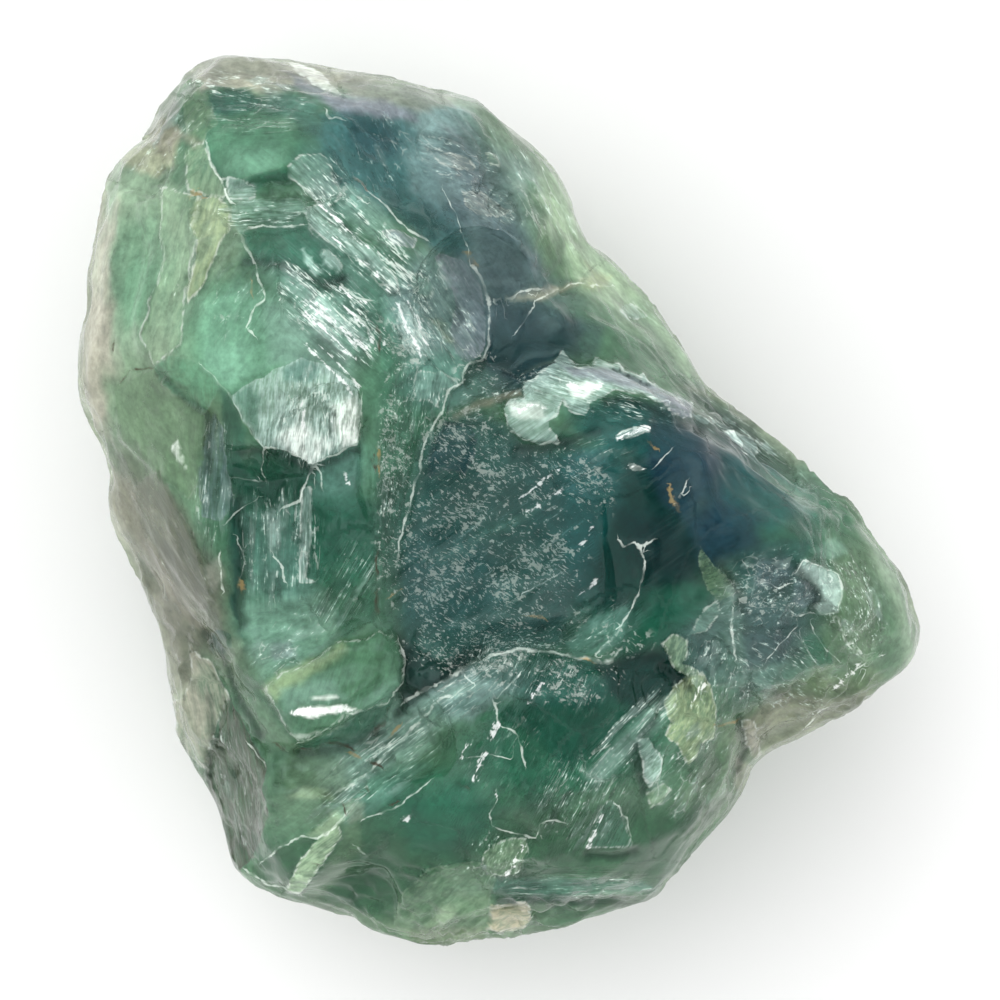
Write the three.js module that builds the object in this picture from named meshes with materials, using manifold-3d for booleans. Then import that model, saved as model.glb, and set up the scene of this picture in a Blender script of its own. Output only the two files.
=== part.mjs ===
// A rough piece of green and blue fluorite, lying on its back with its broken face up.
// Millimetres. +Z is up, the length runs along Y, and the origin is under the middle of the stone.
// Ridges, ledges and creases of the broken face are lines with heights. Between them the surface
// is stretched like a skin, over points that are joined into the most even triangles.
import * as THREE from "three";
import { mergeVertices } from "three/addons/utils/BufferGeometryUtils.js";
import { ConvexHull } from "three/addons/math/ConvexHull.js";
import { ImprovedNoise } from "three/addons/math/ImprovedNoise.js";
import Module from "manifold-3d";

// Driving dimensions
const NODE_NAME = "fluorite";
const THICKNESS = 60;
const LINE_STEP = 2.6;
const MARGIN_STEP = 3.2;
const FILL_STEP = 3.3;
const LINE_CLEARANCE = 1.9;
const SCATTER = 0.35;
const SEED = 41;
const STRETCH_ROUNDS = 260;
const BLUNTING = 0.2;

// Walls between the face and the back: how far each ring stands in from the margin, and how far
// up it is on the way to the shoulder, or down on the way to the ground
const FACE_RINGS = [{ inset: 0.9, way: 0.55 }, { inset: 2.7, way: 1 }];
const BACK_RINGS = [{ inset: 0.9, way: 0.3 }, { inset: 3, way: 0.64 }, { inset: 7.5, way: 0.94 }];
const RING_WANDER = { size: 8, inset: 0.8, height: 2.2 };

// Uneven ground over the whole stone: size of one swell, and its height
const SWELLS = [{ size: 15, height: 1.1, seed: 3.7 }, { size: 6.5, height: 0.55, seed: 11.3 }];

// Margin seen from above, clockwise from the crown: x, y, height of the widest place, height of
// the shoulder where the wall turns over to the face
const MARGIN = [
  [-34, 58, 28, 39], [-28.5, 57.5, 28, 39.5], [-21, 56, 28, 40], [-8.5, 54, 27, 40],
  [-2.5, 52, 26, 39], [2.5, 47.5, 25, 36], [6.5, 44, 24, 34], [9.5, 39, 23, 33], [11, 34.5, 22, 32],
  [15, 31, 21, 29], [20.5, 25.5, 21, 29], [24.5, 20, 22, 30], [27.5, 14.5, 23, 31],
  [32, 11.5, 24, 33], [40.5, 4.5, 25, 34], [45.5, 0, 26, 35], [50, -5.5, 26, 36],
  [53, -10.5, 25, 35], [55, -16, 24, 33], [54.5, -20, 23, 31], [51.5, -24, 22, 30],
  [46.5, -28, 21, 29], [40.5, -31, 20, 28], [34.5, -33.5, 20, 28], [32.5, -36, 20, 28],
  [32, -38.5, 21, 30], [28.5, -43, 22, 32], [21.5, -52, 22, 32], [15, -54.5, 23, 33],
  [3.5, -56.5, 23, 33], [-2.5, -58, 23, 32], [-9, -58, 23, 32], [-15, -57, 22, 32],
  [-20.5, -54.5, 21, 30], [-32, -50.5, 20, 28], [-35, -48, 20, 28], [-35.5, -45.5, 20, 28],
  [-37.5, -39, 20, 29], [-40.5, -34, 20, 29], [-42.5, -30.5, 20, 29], [-43.5, -23.5, 20, 30],
  [-44.5, -18.5, 21, 31], [-47, -11.5, 21, 30], [-50, -5, 22, 30], [-51.5, 0, 23, 31],
  [-51, 2.5, 24, 32], [-53.5, 9, 25, 35], [-55, 14.5, 26, 37], [-55, 18, 26, 38],
  [-53.5, 29.5, 27, 38], [-52.5, 36, 27, 37], [-50.5, 43.5, 27, 37], [-46, 48, 27, 38],
  [-45, 51.5, 27, 38], [-42.5, 54.5, 27, 39], [-39, 57, 28, 39],
];

// The broken face: ridges, ledges and creases as x, y, height
const FACE_LINES = {
  "crown edge": [[-40, 51, 42], [-33, 53, 44.5], [-24, 52, 45.5], [-12, 48.5, 46.5]],
  "upper terrace": [[-42, 46, 43.5], [-37, 45.5, 48.5], [-30, 47.5, 51], [-22, 46.5, 51]],
  "terrace top": [[-34.5, 40.5, 53.5], [-26, 39.5, 54.5]],
  "thumb print": [[-19, 41, 50.5], [-16.5, 45.5, 47], [-10, 42.5, 48]],
  "feather ridge": [[-23.5, 43.5, 53], [-18, 37, 56], [-12, 32.5, 55.5], [-6, 28.5, 53]],
  "dome, upper lip": [[-39, 32, 53], [-34, 35, 55.5], [-25, 35.5, 56.5], [-20, 31, 57.5]],
  "dome, top": [[-37, 25, 56.5], [-28, 26.5, 59], [-21, 23.5, 59], [-16, 26, 57.5]],
  "dome, brow": [[-39.5, 19, 54], [-32, 17, 58], [-24.5, 16, 58], [-18.5, 16, 57]],
  "dome, lower lip": [
    [-45, 17.5, 46.5], [-40.5, 13.5, 51.5], [-34.5, 8, 53.5], [-31, 5, 53.5], [-23.5, 4.6, 53.5],
    [-18.8, 12, 56],
  ],
  "window, head": [[-36.8, 5.8, 48.3], [-31.5, 2.6, 47.6], [-23, 2, 47.6], [-17.6, 8, 50]],
  "window, sill": [[-33.5, -16, 45.6], [-25, -16.5, 45.4], [-17.5, -15.5, 46]],
  "window, left ledge": [[-38.2, 7, 50], [-37.6, -1, 49], [-36.6, -9, 48], [-34.8, -17, 46.5]],
  "rusty seam": [
    [-15.8, 23, 56], [-15.3, 13, 54], [-15.2, 3, 51.5], [-15.2, -7, 49.5], [-15.2, -15.5, 48],
  ],
  "pale seam": [
    [-1.5, 25, 48.5], [-2, 18, 48.5], [-7.5, 8.5, 48.5], [-12.3, -7, 47], [-13.3, -16.5, 46.5],
  ],
  "feather foot": [[-9.5, 23.5, 53.5], [-10.3, 14, 52.5], [-12.6, 4, 50.5]],
  "toe, head": [[-31, -18.7, 47], [-23.5, -18.6, 49.2], [-15.8, -18.2, 49.5]],
  "toe, top": [[-28.5, -23.5, 51], [-22.5, -26, 52.5], [-16.5, -22.5, 52.5]],
  "toe, rim": [
    [-33, -22, 45.5], [-29.8, -28.5, 45], [-25, -31.8, 44.5], [-19.3, -29.8, 45.5],
    [-13.4, -25, 47],
  ],
  "rusty crevice": [
    [-32.5, -29.5, 41.5], [-28, -33, 41], [-23, -34.5, 41], [-17, -31.8, 42.5],
    [-12, -27.5, 44.5],
  ],
  "left flake, bed": [[-44, 42, 42.5], [-38.5, 41, 47.5], [-36, 36, 51]],
  "left flake, foot": [[-45, 30, 44.5], [-41.2, 27, 49], [-45.5, 22, 45]],
  "left shoulder": [[-48.5, 41, 38.5], [-50, 32, 39.5], [-50.8, 22, 40], [-50, 14, 39]],
  "left flank": [
    [-42.5, 8, 46.5], [-43.3, 1, 43.5], [-41.5, -6, 43.3], [-38, -13.5, 43.8], [-35.5, -20, 43.5],
  ],
  "brown crease": [
    [-48, 3, 34.5], [-43.6, -8, 35], [-38.5, -18, 36], [-34.6, -26, 37.5], [-33.5, -31, 38],
  ],
  "brown band": [[-41.2, -22, 34.5], [-39.6, -28, 33.5], [-37.4, -32.5, 33.5]],
  "dark corner": [[-35, -35.5, 36.5], [-31.4, -37.3, 42], [-30.6, -44, 37.5], [-31.6, -47.6, 31.5]],
  "bright step, head": [[-28.5, -38, 45.5], [-23, -37.3, 46.5], [-19.6, -41, 45.5]],
  "bright step, foot": [[-27.5, -49, 34.5], [-23.5, -47, 39], [-20.4, -46, 41]],
  "below the step": [[-18.2, -48, 38.5], [-16.4, -40.5, 44]],
  "upper right lobe": [[-5, 43.5, 47.5], [-6, 38, 50], [-2.5, 33, 50.5], [-1, 29, 50]],
  "upper right slope": [[3.5, 40.5, 42], [5, 34.5, 43.5], [5.5, 30, 42]],
  "upper right valley": [[0.4, 24.6, 46.5], [5, 26.3, 43], [11, 28.4, 36]],
  "middle right crest": [[2.4, 21.2, 45.5], [8.5, 23, 46.5], [14.5, 22.6, 43.5]],
  "wing, foot": [[1.2, 17, 44.5], [5, 18.6, 45], [13, 18.3, 45.5], [19.5, 16.6, 42.5]],
  "wing, edge": [
    [1.6, 12, 49.5], [6, 15.6, 51.5], [13.5, 15.2, 52], [19.5, 12.6, 51.5], [25.5, 8.4, 49.5],
    [32, 4.6, 46], [38.5, 0.4, 43.5],
  ],
  "hollow, upper lip": [[-5, 9.3, 46.5], [2.5, 6.6, 48.8], [9.5, 8.6, 52], [17.5, 6.5, 54]],
  "hollow, floor": [
    [-2, -0.5, 44.5], [-7.5, -7.5, 43.5], [0, -9.5, 41.5], [8.5, -8, 43.5], [5.5, -1, 45.5],
  ],
  "hollow, lower floor": [[-9.5, -17.5, 43.5], [-2.5, -15.5, 43], [5.5, -15.5, 43], [12, -13, 46]],
  "hollow, lower lip": [
    [-12, -27, 46.5], [-8, -24, 49.5], [-2.5, -20.6, 52], [3, -19.4, 53], [9, -19.4, 53.5],
    [14.5, -21.2, 52.5],
  ],
  "hollow, right lip": [[16.6, -19, 51], [19, -14.5, 51.5], [20, -6, 51.5], [18.6, 1, 53]],
  "right lobe, crest": [[26, 5, 54], [28, -2.5, 55], [34.5, -3.5, 52], [40.5, -6.5, 48]],
  "right lobe, side": [[26, -13.5, 53.5], [33, -10.5, 52.5], [40, -13.5, 48.5], [46, -14, 43]],
  "right lobe, foot": [[31, -20.5, 48], [38, -21.5, 45], [44.5, -20.5, 40.5], [40.5, -26.2, 37]],
  "lower right crease": [[21, -21.5, 49], [25, -24.2, 45.5], [28.3, -29, 39.5], [30, -33, 34]],
  "lower mass, crest": [
    [-9, -31, 50], [-1, -27.5, 54.5], [8, -25.8, 55.5], [15.5, -26.5, 54], [21, -30.5, 51.5],
  ],
  "lower mass, brow": [
    [-13, -38.5, 47.5], [-5, -39.5, 52], [5, -38, 54.5], [14, -36.5, 53.5], [22.5, -37, 48.5],
  ],
  "lower slope": [
    [-11.5, -46.5, 42.5], [-2, -47.5, 44.5], [6, -45.5, 48.5], [15, -45, 47], [21.5, -43, 43],
  ],
  "lower edge": [
    [-13, -53, 36.5], [-6, -53.8, 37.5], [1, -52.8, 37], [9, -51.5, 39.5], [16, -49.8, 38.5],
  ],
};

// Places where the back is swollen or hollow, as x, y, height
const BACK_LINES = {
  "left rest": [[-34, 24, -1.2], [-33, 6, -2], [-28, -14, -1.6], [-24, -32, -1]],
  "right rest": [[1, 3, -1.8], [12, -1, -1.6], [24, -10, -1.8], [22, -26, -1.4]],
  "upper rest": [[-28, 40, -1.4], [-14, 38, -1.8], [-2, 28, -1.3]],
  "lower rest": [[-12, -42, -1.3], [2, -42, -1.8], [12, -38, -1.2]],
  "back hollow": [[-18, 20, 1.6], [-16, 4, 2.4], [-12, -14, 1.8], [-2, -25, 1.2]],
  "right scallop": [[34, 0, 5], [40, -10, 6.5], [38, -20, 6]],
};

// Straight cleavage faces under the margin: a point on each and its outward direction
const CLEAVAGES = [
  { name: "left", at: [-48, 14, 14], out: [-0.76, 0.12, -0.64] },
  { name: "left foot", at: [-42, 8, 4], out: [-0.46, -0.14, -0.88] },
  { name: "lower left", at: [-37, -30, 11], out: [-0.74, -0.36, -0.57] },
  { name: "bottom", at: [4, -51, 12], out: [0.2, -0.78, -0.59] },
  { name: "bottom foot", at: [-10, -48, 4], out: [-0.1, -0.5, -0.86] },
  { name: "lower right", at: [36, -26, 12], out: [0.56, -0.6, -0.57] },
  { name: "right foot", at: [36, -6, 7], out: [0.5, 0.18, -0.85] },
  { name: "right end", at: [49, -10, 15], out: [0.78, 0.2, -0.59] },
  { name: "upper right", at: [17, 22, 10], out: [0.66, 0.5, -0.56] },
  { name: "upper right foot", at: [5, 35, 4], out: [0.44, 0.4, -0.8] },
  { name: "top", at: [-20, 52, 14], out: [0.05, 0.8, -0.6] },
  { name: "upper left foot", at: [-38, 38, 6], out: [-0.52, 0.4, -0.75] },
];

// Flakes that stand proud of the face: thickness and outline seen from above
const FLAKES = [
  {
    name: "pale flake on the left",
    thick: 1.3,
    outline: [
      [-45.5, 41], [-41, 43], [-34.8, 38.2], [-35.4, 34.5], [-37.4, 30.6], [-38.3, 26],
      [-40.3, 21.4], [-43.5, 17], [-46.4, 19], [-47, 23.4], [-45, 31], [-46.2, 36.5],
    ],
  },
  {
    name: "ragged wing over the right lobe",
    thick: 1.6,
    outline: [
      [0.4, 11.4], [1.6, 15.6], [5.2, 17.5], [8, 18.2], [10.5, 16.6], [13.5, 17.4], [18.5, 15.4],
      [24.5, 13], [25, 10.8], [18.5, 12.6], [13.2, 11.8], [8.6, 9.6], [7.6, 7.2], [2.6, 8.4],
    ],
  },
  {
    name: "pale chip on the right",
    thick: 1,
    outline: [
      [37.5, -7.8], [41.5, -7], [46.5, -10], [48.2, -14.6], [45.2, -17.2], [42, -14.8],
      [41.5, -11], [38.2, -9.6],
    ],
  },
  {
    name: "green chip at the lower right",
    thick: 1.2,
    outline: [
      [24.5, -22.2], [27.6, -22.8], [30, -28], [30.4, -34.5], [27.4, -37.6], [24.4, -34.8],
      [22.4, -32], [23.4, -27],
    ],
  },
  {
    name: "step at the bottom",
    thick: 1.1,
    outline: [
      [-14, -47.5], [-6.5, -46], [-1, -48.6], [4.6, -50.4], [4, -54.4], [-6, -57.5], [-15, -55.5],
    ],
  },
];

const wasm = await Module();
wasm.setup();
const noise = new ImprovedNoise();

// A closed geometry as a solid that can be joined and cut.
function solid(geometry) {
  const bare = geometry.clone();
  bare.deleteAttribute("normal");
  bare.deleteAttribute("uv");
  const merged = mergeVertices(bare);
  return new wasm.Manifold(
    new wasm.Mesh({
      numProp: 3,
      vertProperties: new Float32Array(merged.attributes.position.array),
      triVerts: new Uint32Array(merged.index.array),
    }),
  );
}

function geometryOf(manifold) {
  const mesh = manifold.getMesh();
  const geometry = new THREE.BufferGeometry();
  geometry.setAttribute("position", new THREE.BufferAttribute(mesh.vertProperties, 3));
  geometry.setIndex(new THREE.BufferAttribute(mesh.triVerts, 1));
  return geometry;
}

// Points along a curve through the given points, about a step apart in plan, with none left out.
function pointsAlong(points, step, closed) {
  const through = points.map(([x, y, z]) => new THREE.Vector3(x, y, z));
  const curve = new THREE.CatmullRomCurve3(through, closed, "centripetal");
  const spans = closed ? through.length : through.length - 1;
  const found = [];
  for (let span = 0; span < spans; span++) {
    const end = through[(span + 1) % through.length];
    const length = Math.hypot(end.x - through[span].x, end.y - through[span].y);
    const pieces = Math.max(1, Math.round(length / step));
    for (let k = 0; k < pieces; k++) found.push(curve.getPoint((span + k / pieces) / spans));
  }
  if (!closed) found.push(curve.getPoint(1));
  return found;
}

// The margin at its widest place. Each point knows its shoulder and the way in.
function marginPoints() {
  const widest = pointsAlong(MARGIN, MARGIN_STEP, true);
  const shoulders = pointsAlong(MARGIN.map(([x, y, , top]) => [x, y, top]), MARGIN_STEP, true);
  return widest.map((at, i) => {
    const next = widest[(i + 1) % widest.length];
    const last = widest[(i + widest.length - 1) % widest.length];
    const inward = new THREE.Vector3(next.y - last.y, last.x - next.x, 0).normalize();
    return { at, inward, shoulder: shoulders[i].z };
  });
}

// One ring of a wall, which stands in from the margin and rises or falls towards a level.
function ring(margin, { inset, way }, levelAt) {
  return margin.map(({ at, inward, shoulder }) => {
    const wander = noise.noise(at.x / RING_WANDER.size, at.y / RING_WANDER.size, inset + way);
    const point = at.clone().addScaledVector(inward, inset * (1 + RING_WANDER.inset * wander));
    point.z = at.z + (levelAt(shoulder) - at.z) * way + RING_WANDER.height * wander;
    return point;
  });
}

function swell({ x, y }) {
  const rise = ({ size, height, seed }) => height * noise.noise(x / size + seed, y / size, seed);
  return SWELLS.reduce((sum, each) => sum + rise(each), 0);
}

// Scattered points inside the margin, clear of those already placed.
function fillPoints(outline, placed, seed) {
  const box = new THREE.Box2().setFromPoints(outline);
  THREE.MathUtils.seededRandom(seed);
  const found = [];
  for (let x = box.min.x; x < box.max.x; x += FILL_STEP) {
    for (let y = box.min.y; y < box.max.y; y += FILL_STEP) {
      const at = new THREE.Vector3(
        x + (THREE.MathUtils.seededRandom() - 0.5) * 2 * SCATTER * FILL_STEP,
        y + (THREE.MathUtils.seededRandom() - 0.5) * 2 * SCATTER * FILL_STEP,
        0,
      );
      const near = placed.some((p) => Math.hypot(p.x - at.x, p.y - at.y) < LINE_CLEARANCE);
      if (!near && isInside(outline, at)) found.push(at);
    }
  }
  return found;
}

function isInside(outline, { x, y }) {
  let inside = false;
  outline.forEach((a, i) => {
    const b = outline[(i + 1) % outline.length];
    const crosses = a.y > y !== b.y > y;
    if (crosses && x < a.x + ((b.x - a.x) * (y - a.y)) / (b.y - a.y)) inside = !inside;
  });
  return inside;
}

// The most even triangles through points seen from above, as indices, counter-clockwise. They are
// the underside of the hull of the same points lifted onto a bowl.
function evenTriangles(points, outline) {
  const lifted = points.map(({ x, y }) => new THREE.Vector3(x, y, x * x + y * y));
  const indexOf = new Map(lifted.map((point, i) => [point, i]));
  const triangles = [];
  for (const face of new ConvexHull().setFromPoints(lifted).faces) {
    if (face.normal.z >= 0) continue;
    const corners = [0, 1, 2].map((k) => indexOf.get(face.getEdge(k).head().point));
    const middle = corners.reduce((sum, i) => sum.add(points[i]), new THREE.Vector3());
    if (isInside(outline, middle.divideScalar(3))) triangles.push(corners.reverse());
  }
  return triangles;
}

// Heights of all points, with the free ones stretched between the fixed ones, then all a little
// blunted. The fixed ones come first.
function stretch(points, triangles, fixed) {
  const neighbours = points.map(() => new Set());
  for (const corners of triangles) {
    for (const a of corners) for (const b of corners) if (a !== b) neighbours[a].add(b);
  }
  const mean = (i) => [...neighbours[i]].reduce((z, j) => z + points[j].z, 0) / neighbours[i].size;
  for (let round = 0; round < STRETCH_ROUNDS; round++) {
    for (let i = fixed; i < points.length; i++) points[i].z = mean(i);
  }
  return points.map((point, i) => point.z + (mean(i) - point.z) * BLUNTING);
}

// One side of the stone as points and triangles, with the margin's points first.
function side(margin, rings, lines, levelAt, seed) {
  const outline = margin.map(({ at }) => at);
  const walls = rings.flatMap((each) => ring(margin, each, levelAt));
  const marked = Object.values(lines).flatMap((points) => pointsAlong(points, LINE_STEP, false));
  const placed = [...outline, ...walls, ...marked];
  const points = [...placed, ...fillPoints(outline, placed, seed)];
  const triangles = evenTriangles(points, outline);
  const heights = stretch(points, triangles, placed.length);
  points.slice(outline.length).forEach((point, i) => {
    point.z = heights[i + outline.length] + swell(point);
  });
  return { points, triangles };
}

// Face and back as one closed solid. lift raises the face inside its walls.
function body(face, back, marginCount, lift) {
  const raised = face.points.map(({ x, y, z }, i) => [x, y, i < marginCount ? z : z + lift]);
  const lower = back.points.slice(marginCount).map(({ x, y, z }) => [x, y, z]);
  const shift = face.points.length - marginCount;
  const under = back.triangles.flatMap(([a, b, c]) =>
    [a, c, b].map((i) => (i < marginCount ? i : i + shift)),
  );
  const geometry = new THREE.BufferGeometry();
  geometry.setAttribute("position", new THREE.Float32BufferAttribute([...raised, ...lower].flat(), 3));
  geometry.setIndex([...face.triangles.flat(), ...under]);
  return solid(geometry);
}

// Everything beyond a cleavage face, as a block to cut away.
function beyond({ at, out }) {
  const reach = 160;
  const block = new THREE.BoxGeometry(reach, reach, reach).translate(0, 0, reach / 2);
  const normal = new THREE.Vector3(...out).normalize();
  const facing = new THREE.Quaternion().setFromUnitVectors(new THREE.Vector3(0, 0, 1), normal);
  return solid(block.applyQuaternion(facing).translate(...at));
}

function column(outline) {
  const shape = new THREE.Shape(outline.map(([x, y]) => new THREE.Vector2(x, y)));
  const prism = new THREE.ExtrudeGeometry(shape, { depth: THICKNESS, bevelEnabled: false });
  return solid(prism.translate(0, 0, THICKNESS / 3));
}

function stone() {
  const margin = marginPoints();
  const face = side(margin, FACE_RINGS, FACE_LINES, (shoulder) => shoulder, SEED);
  const back = side(margin, BACK_RINGS, BACK_LINES, () => 0, SEED + 1);
  let piece = body(face, back, margin.length, 0);
  for (const { thick, outline } of FLAKES) {
    piece = piece.add(body(face, back, margin.length, thick).intersect(column(outline)));
  }
  for (const cleavage of CLEAVAGES) piece = piece.subtract(beyond(cleavage));
  return piece.subtract(beyond({ at: [0, 0, 0], out: [0, 0, -1] }));
}

const fluorite = new THREE.Mesh(
  geometryOf(stone()),
  new THREE.MeshStandardMaterial({ color: 0x3f7f6c, roughness: 0.35, metalness: 0 }),
);
fluorite.name = NODE_NAME;

const specimen = new THREE.Group();
specimen.add(fluorite);

export default specimen;
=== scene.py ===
"""A rough lump of green and blue fluorite, seen from straight above on a white floor.

The stone is one piece. Its form comes from the frame. This script gives it the fine relief of broken
fluorite: cleavage steps, chips, thin sheets, lips and flakes of a few millimetres. It then paints the
colour zones, sheets, streaks and thin lines as attributes, and builds one clear, milky and absorbing
material that breaks them up at a finer scale than the mesh.
Places on the face are written as pixels of the photograph, which looks straight down on it. PIXEL turns
them into millimetres, with +X to the right and +Y up the picture. A path or an outline is a text of x,y
pairs. Other sizes are in mm.
"""
import math

import bpy
import numpy as np
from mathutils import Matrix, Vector


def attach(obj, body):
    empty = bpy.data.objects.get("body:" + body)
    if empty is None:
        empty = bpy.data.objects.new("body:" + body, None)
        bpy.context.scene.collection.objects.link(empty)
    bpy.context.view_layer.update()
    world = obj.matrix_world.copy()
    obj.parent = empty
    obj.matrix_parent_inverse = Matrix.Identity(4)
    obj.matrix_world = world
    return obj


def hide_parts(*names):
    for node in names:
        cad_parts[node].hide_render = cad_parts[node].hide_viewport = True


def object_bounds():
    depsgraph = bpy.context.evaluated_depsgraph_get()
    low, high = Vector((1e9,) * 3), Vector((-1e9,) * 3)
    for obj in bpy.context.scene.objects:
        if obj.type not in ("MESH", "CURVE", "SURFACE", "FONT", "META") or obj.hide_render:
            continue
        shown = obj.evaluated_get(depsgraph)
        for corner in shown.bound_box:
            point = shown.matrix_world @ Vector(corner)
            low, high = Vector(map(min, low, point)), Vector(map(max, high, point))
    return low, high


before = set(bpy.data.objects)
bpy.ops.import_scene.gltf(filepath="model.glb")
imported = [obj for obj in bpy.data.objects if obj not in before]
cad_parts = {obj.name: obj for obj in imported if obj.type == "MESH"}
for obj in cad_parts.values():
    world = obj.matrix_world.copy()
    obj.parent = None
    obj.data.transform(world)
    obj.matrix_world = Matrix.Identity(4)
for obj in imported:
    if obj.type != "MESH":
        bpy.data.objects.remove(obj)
cad_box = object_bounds()

NODE = "fluorite"
MM = 0.001
PICTURE_SIZE = 1000
PICTURE_MIDDLE = PICTURE_SIZE / 2
PIXEL = 0.13
CAMERA_HEIGHT = 1200
SENSOR = 36
# Height of the rim, where the picture's scale holds
RIM = 26

VOXEL = 0.54
WELD = 0.01
UNDERSIDE_SHARE = 0.16
SMOOTH_ROUNDS = 9
# Rounds of smoothing that turn the normals into the broad facing
BROAD_ROUNDS = 8
# Upward part of the normal, below which a place belongs to the underside
UNDERSIDE = -0.45
SEED = 7
# Primes that turn a cell's place into the number of its random draw
CELL_KEYS = (73856093, 19349663, 83492791)

# Chips: how many, and their least and greatest width
FLAT_CHIPS = (240, 4.0, 10.0)
SHELL_CHIPS = (120, 2.0, 5.0)
# Directions that the stone splits across, and the height of the steps
CLEAVAGE_SETS = [
    {"out": (0.30, 0.22, 0.93), "rise": 1.3},
    {"out": (-0.72, 0.25, 0.65), "rise": 1.6},
    {"out": (0.55, 0.60, 0.58), "rise": 1.5},
    {"out": (0.35, -0.78, 0.52), "rise": 1.7},
    {"out": (-0.35, -0.75, 0.56), "rise": 1.4},
]
SHEET_RISE = 0.5
LIP_RISE = 0.22
RUST_DEPTH = 0.35
SHADE_DEPTH = 0.45
ROUGH_RISE = 0.12
# Depth stored where no crisp sheet is near, and how far around one its depth is stored
NO_SHEET = -2.0
SHEET_MARGIN = 1.6
# Share of facing upward above which a place can carry a sheet
FACE_LEAST = 0.4

# How much brighter the colours are painted, to suit the light
GAIN = 1.15
IOR = 1.434
# Absorption inside the stone, with its density per metre
BODY_COLOUR = (0.46, 0.80, 0.74, 1)
BODY_DENSITY = 20.0
GLOSS = 0.2
GLOSS_TINT = (0.7, 1.0, 0.96, 1)
BUMP_RISE = 0.5
# Noise scales of the material, per metre
GRIT_SCALE = 1000
CLUMP_SCALE = 170
DRIFT_SCALE = 320
# Size of a dash in the hollow, its turn in degrees and how far it strays
DASH_SIZE = (0.8, 0.26, 0.6)
DASH_TURN = -33
DASH_STRAY = 2.2

FLOOR_HALF = 3000
FLOOR_COLOUR = (0.86, 0.86, 0.86, 1)
HORIZON_LIGHT = 1.45
ZENITH_LIGHT = 0.3
KEY_LIGHT = 1.4
KEY_WAY = (-0.42, 0.45, 0.8)

# Share of its written width that each kind of line is painted at
THINNED = {"pale": 0.75, "rust": 0.8, "gold": 0.8}

# Colours as they look on the stone, from 0 to 255
COLOURS = {
    "mist": (172, 168, 152), "ash": (146, 148, 136), "sage": (140, 164, 138), "celadon": (156, 182, 148),
    "mint": (122, 172, 144), "leaf": (96, 146, 114), "fern": (104, 132, 100), "moss": (84, 122, 94),
    "jade": (66, 118, 94), "pine": (28, 98, 74), "forest": (50, 92, 62), "bottle": (10, 72, 58),
    "lagoon": (100, 146, 132), "seafoam": (130, 166, 150), "teal": (62, 110, 112), "sea": (22, 88, 88),
    "slate": (96, 116, 122), "haze": (128, 156, 154), "steel": (70, 88, 96), "navy": (24, 52, 72),
    "abyss": (46, 86, 84), "ink": (0, 28, 32), "deep": (0, 44, 40), "white": (244, 250, 244),
    "lime": (168, 182, 138), "olive": (122, 132, 96), "taupe": (142, 136, 120), "bark": (106, 106, 90),
    "umber": (78, 76, 64), "lilac": (140, 146, 156), "ice": (176, 200, 192), "chalk": (216, 224, 216),
    "cream": (184, 176, 150), "rust": (84, 62, 42), "gold": (188, 158, 104),
}

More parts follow.
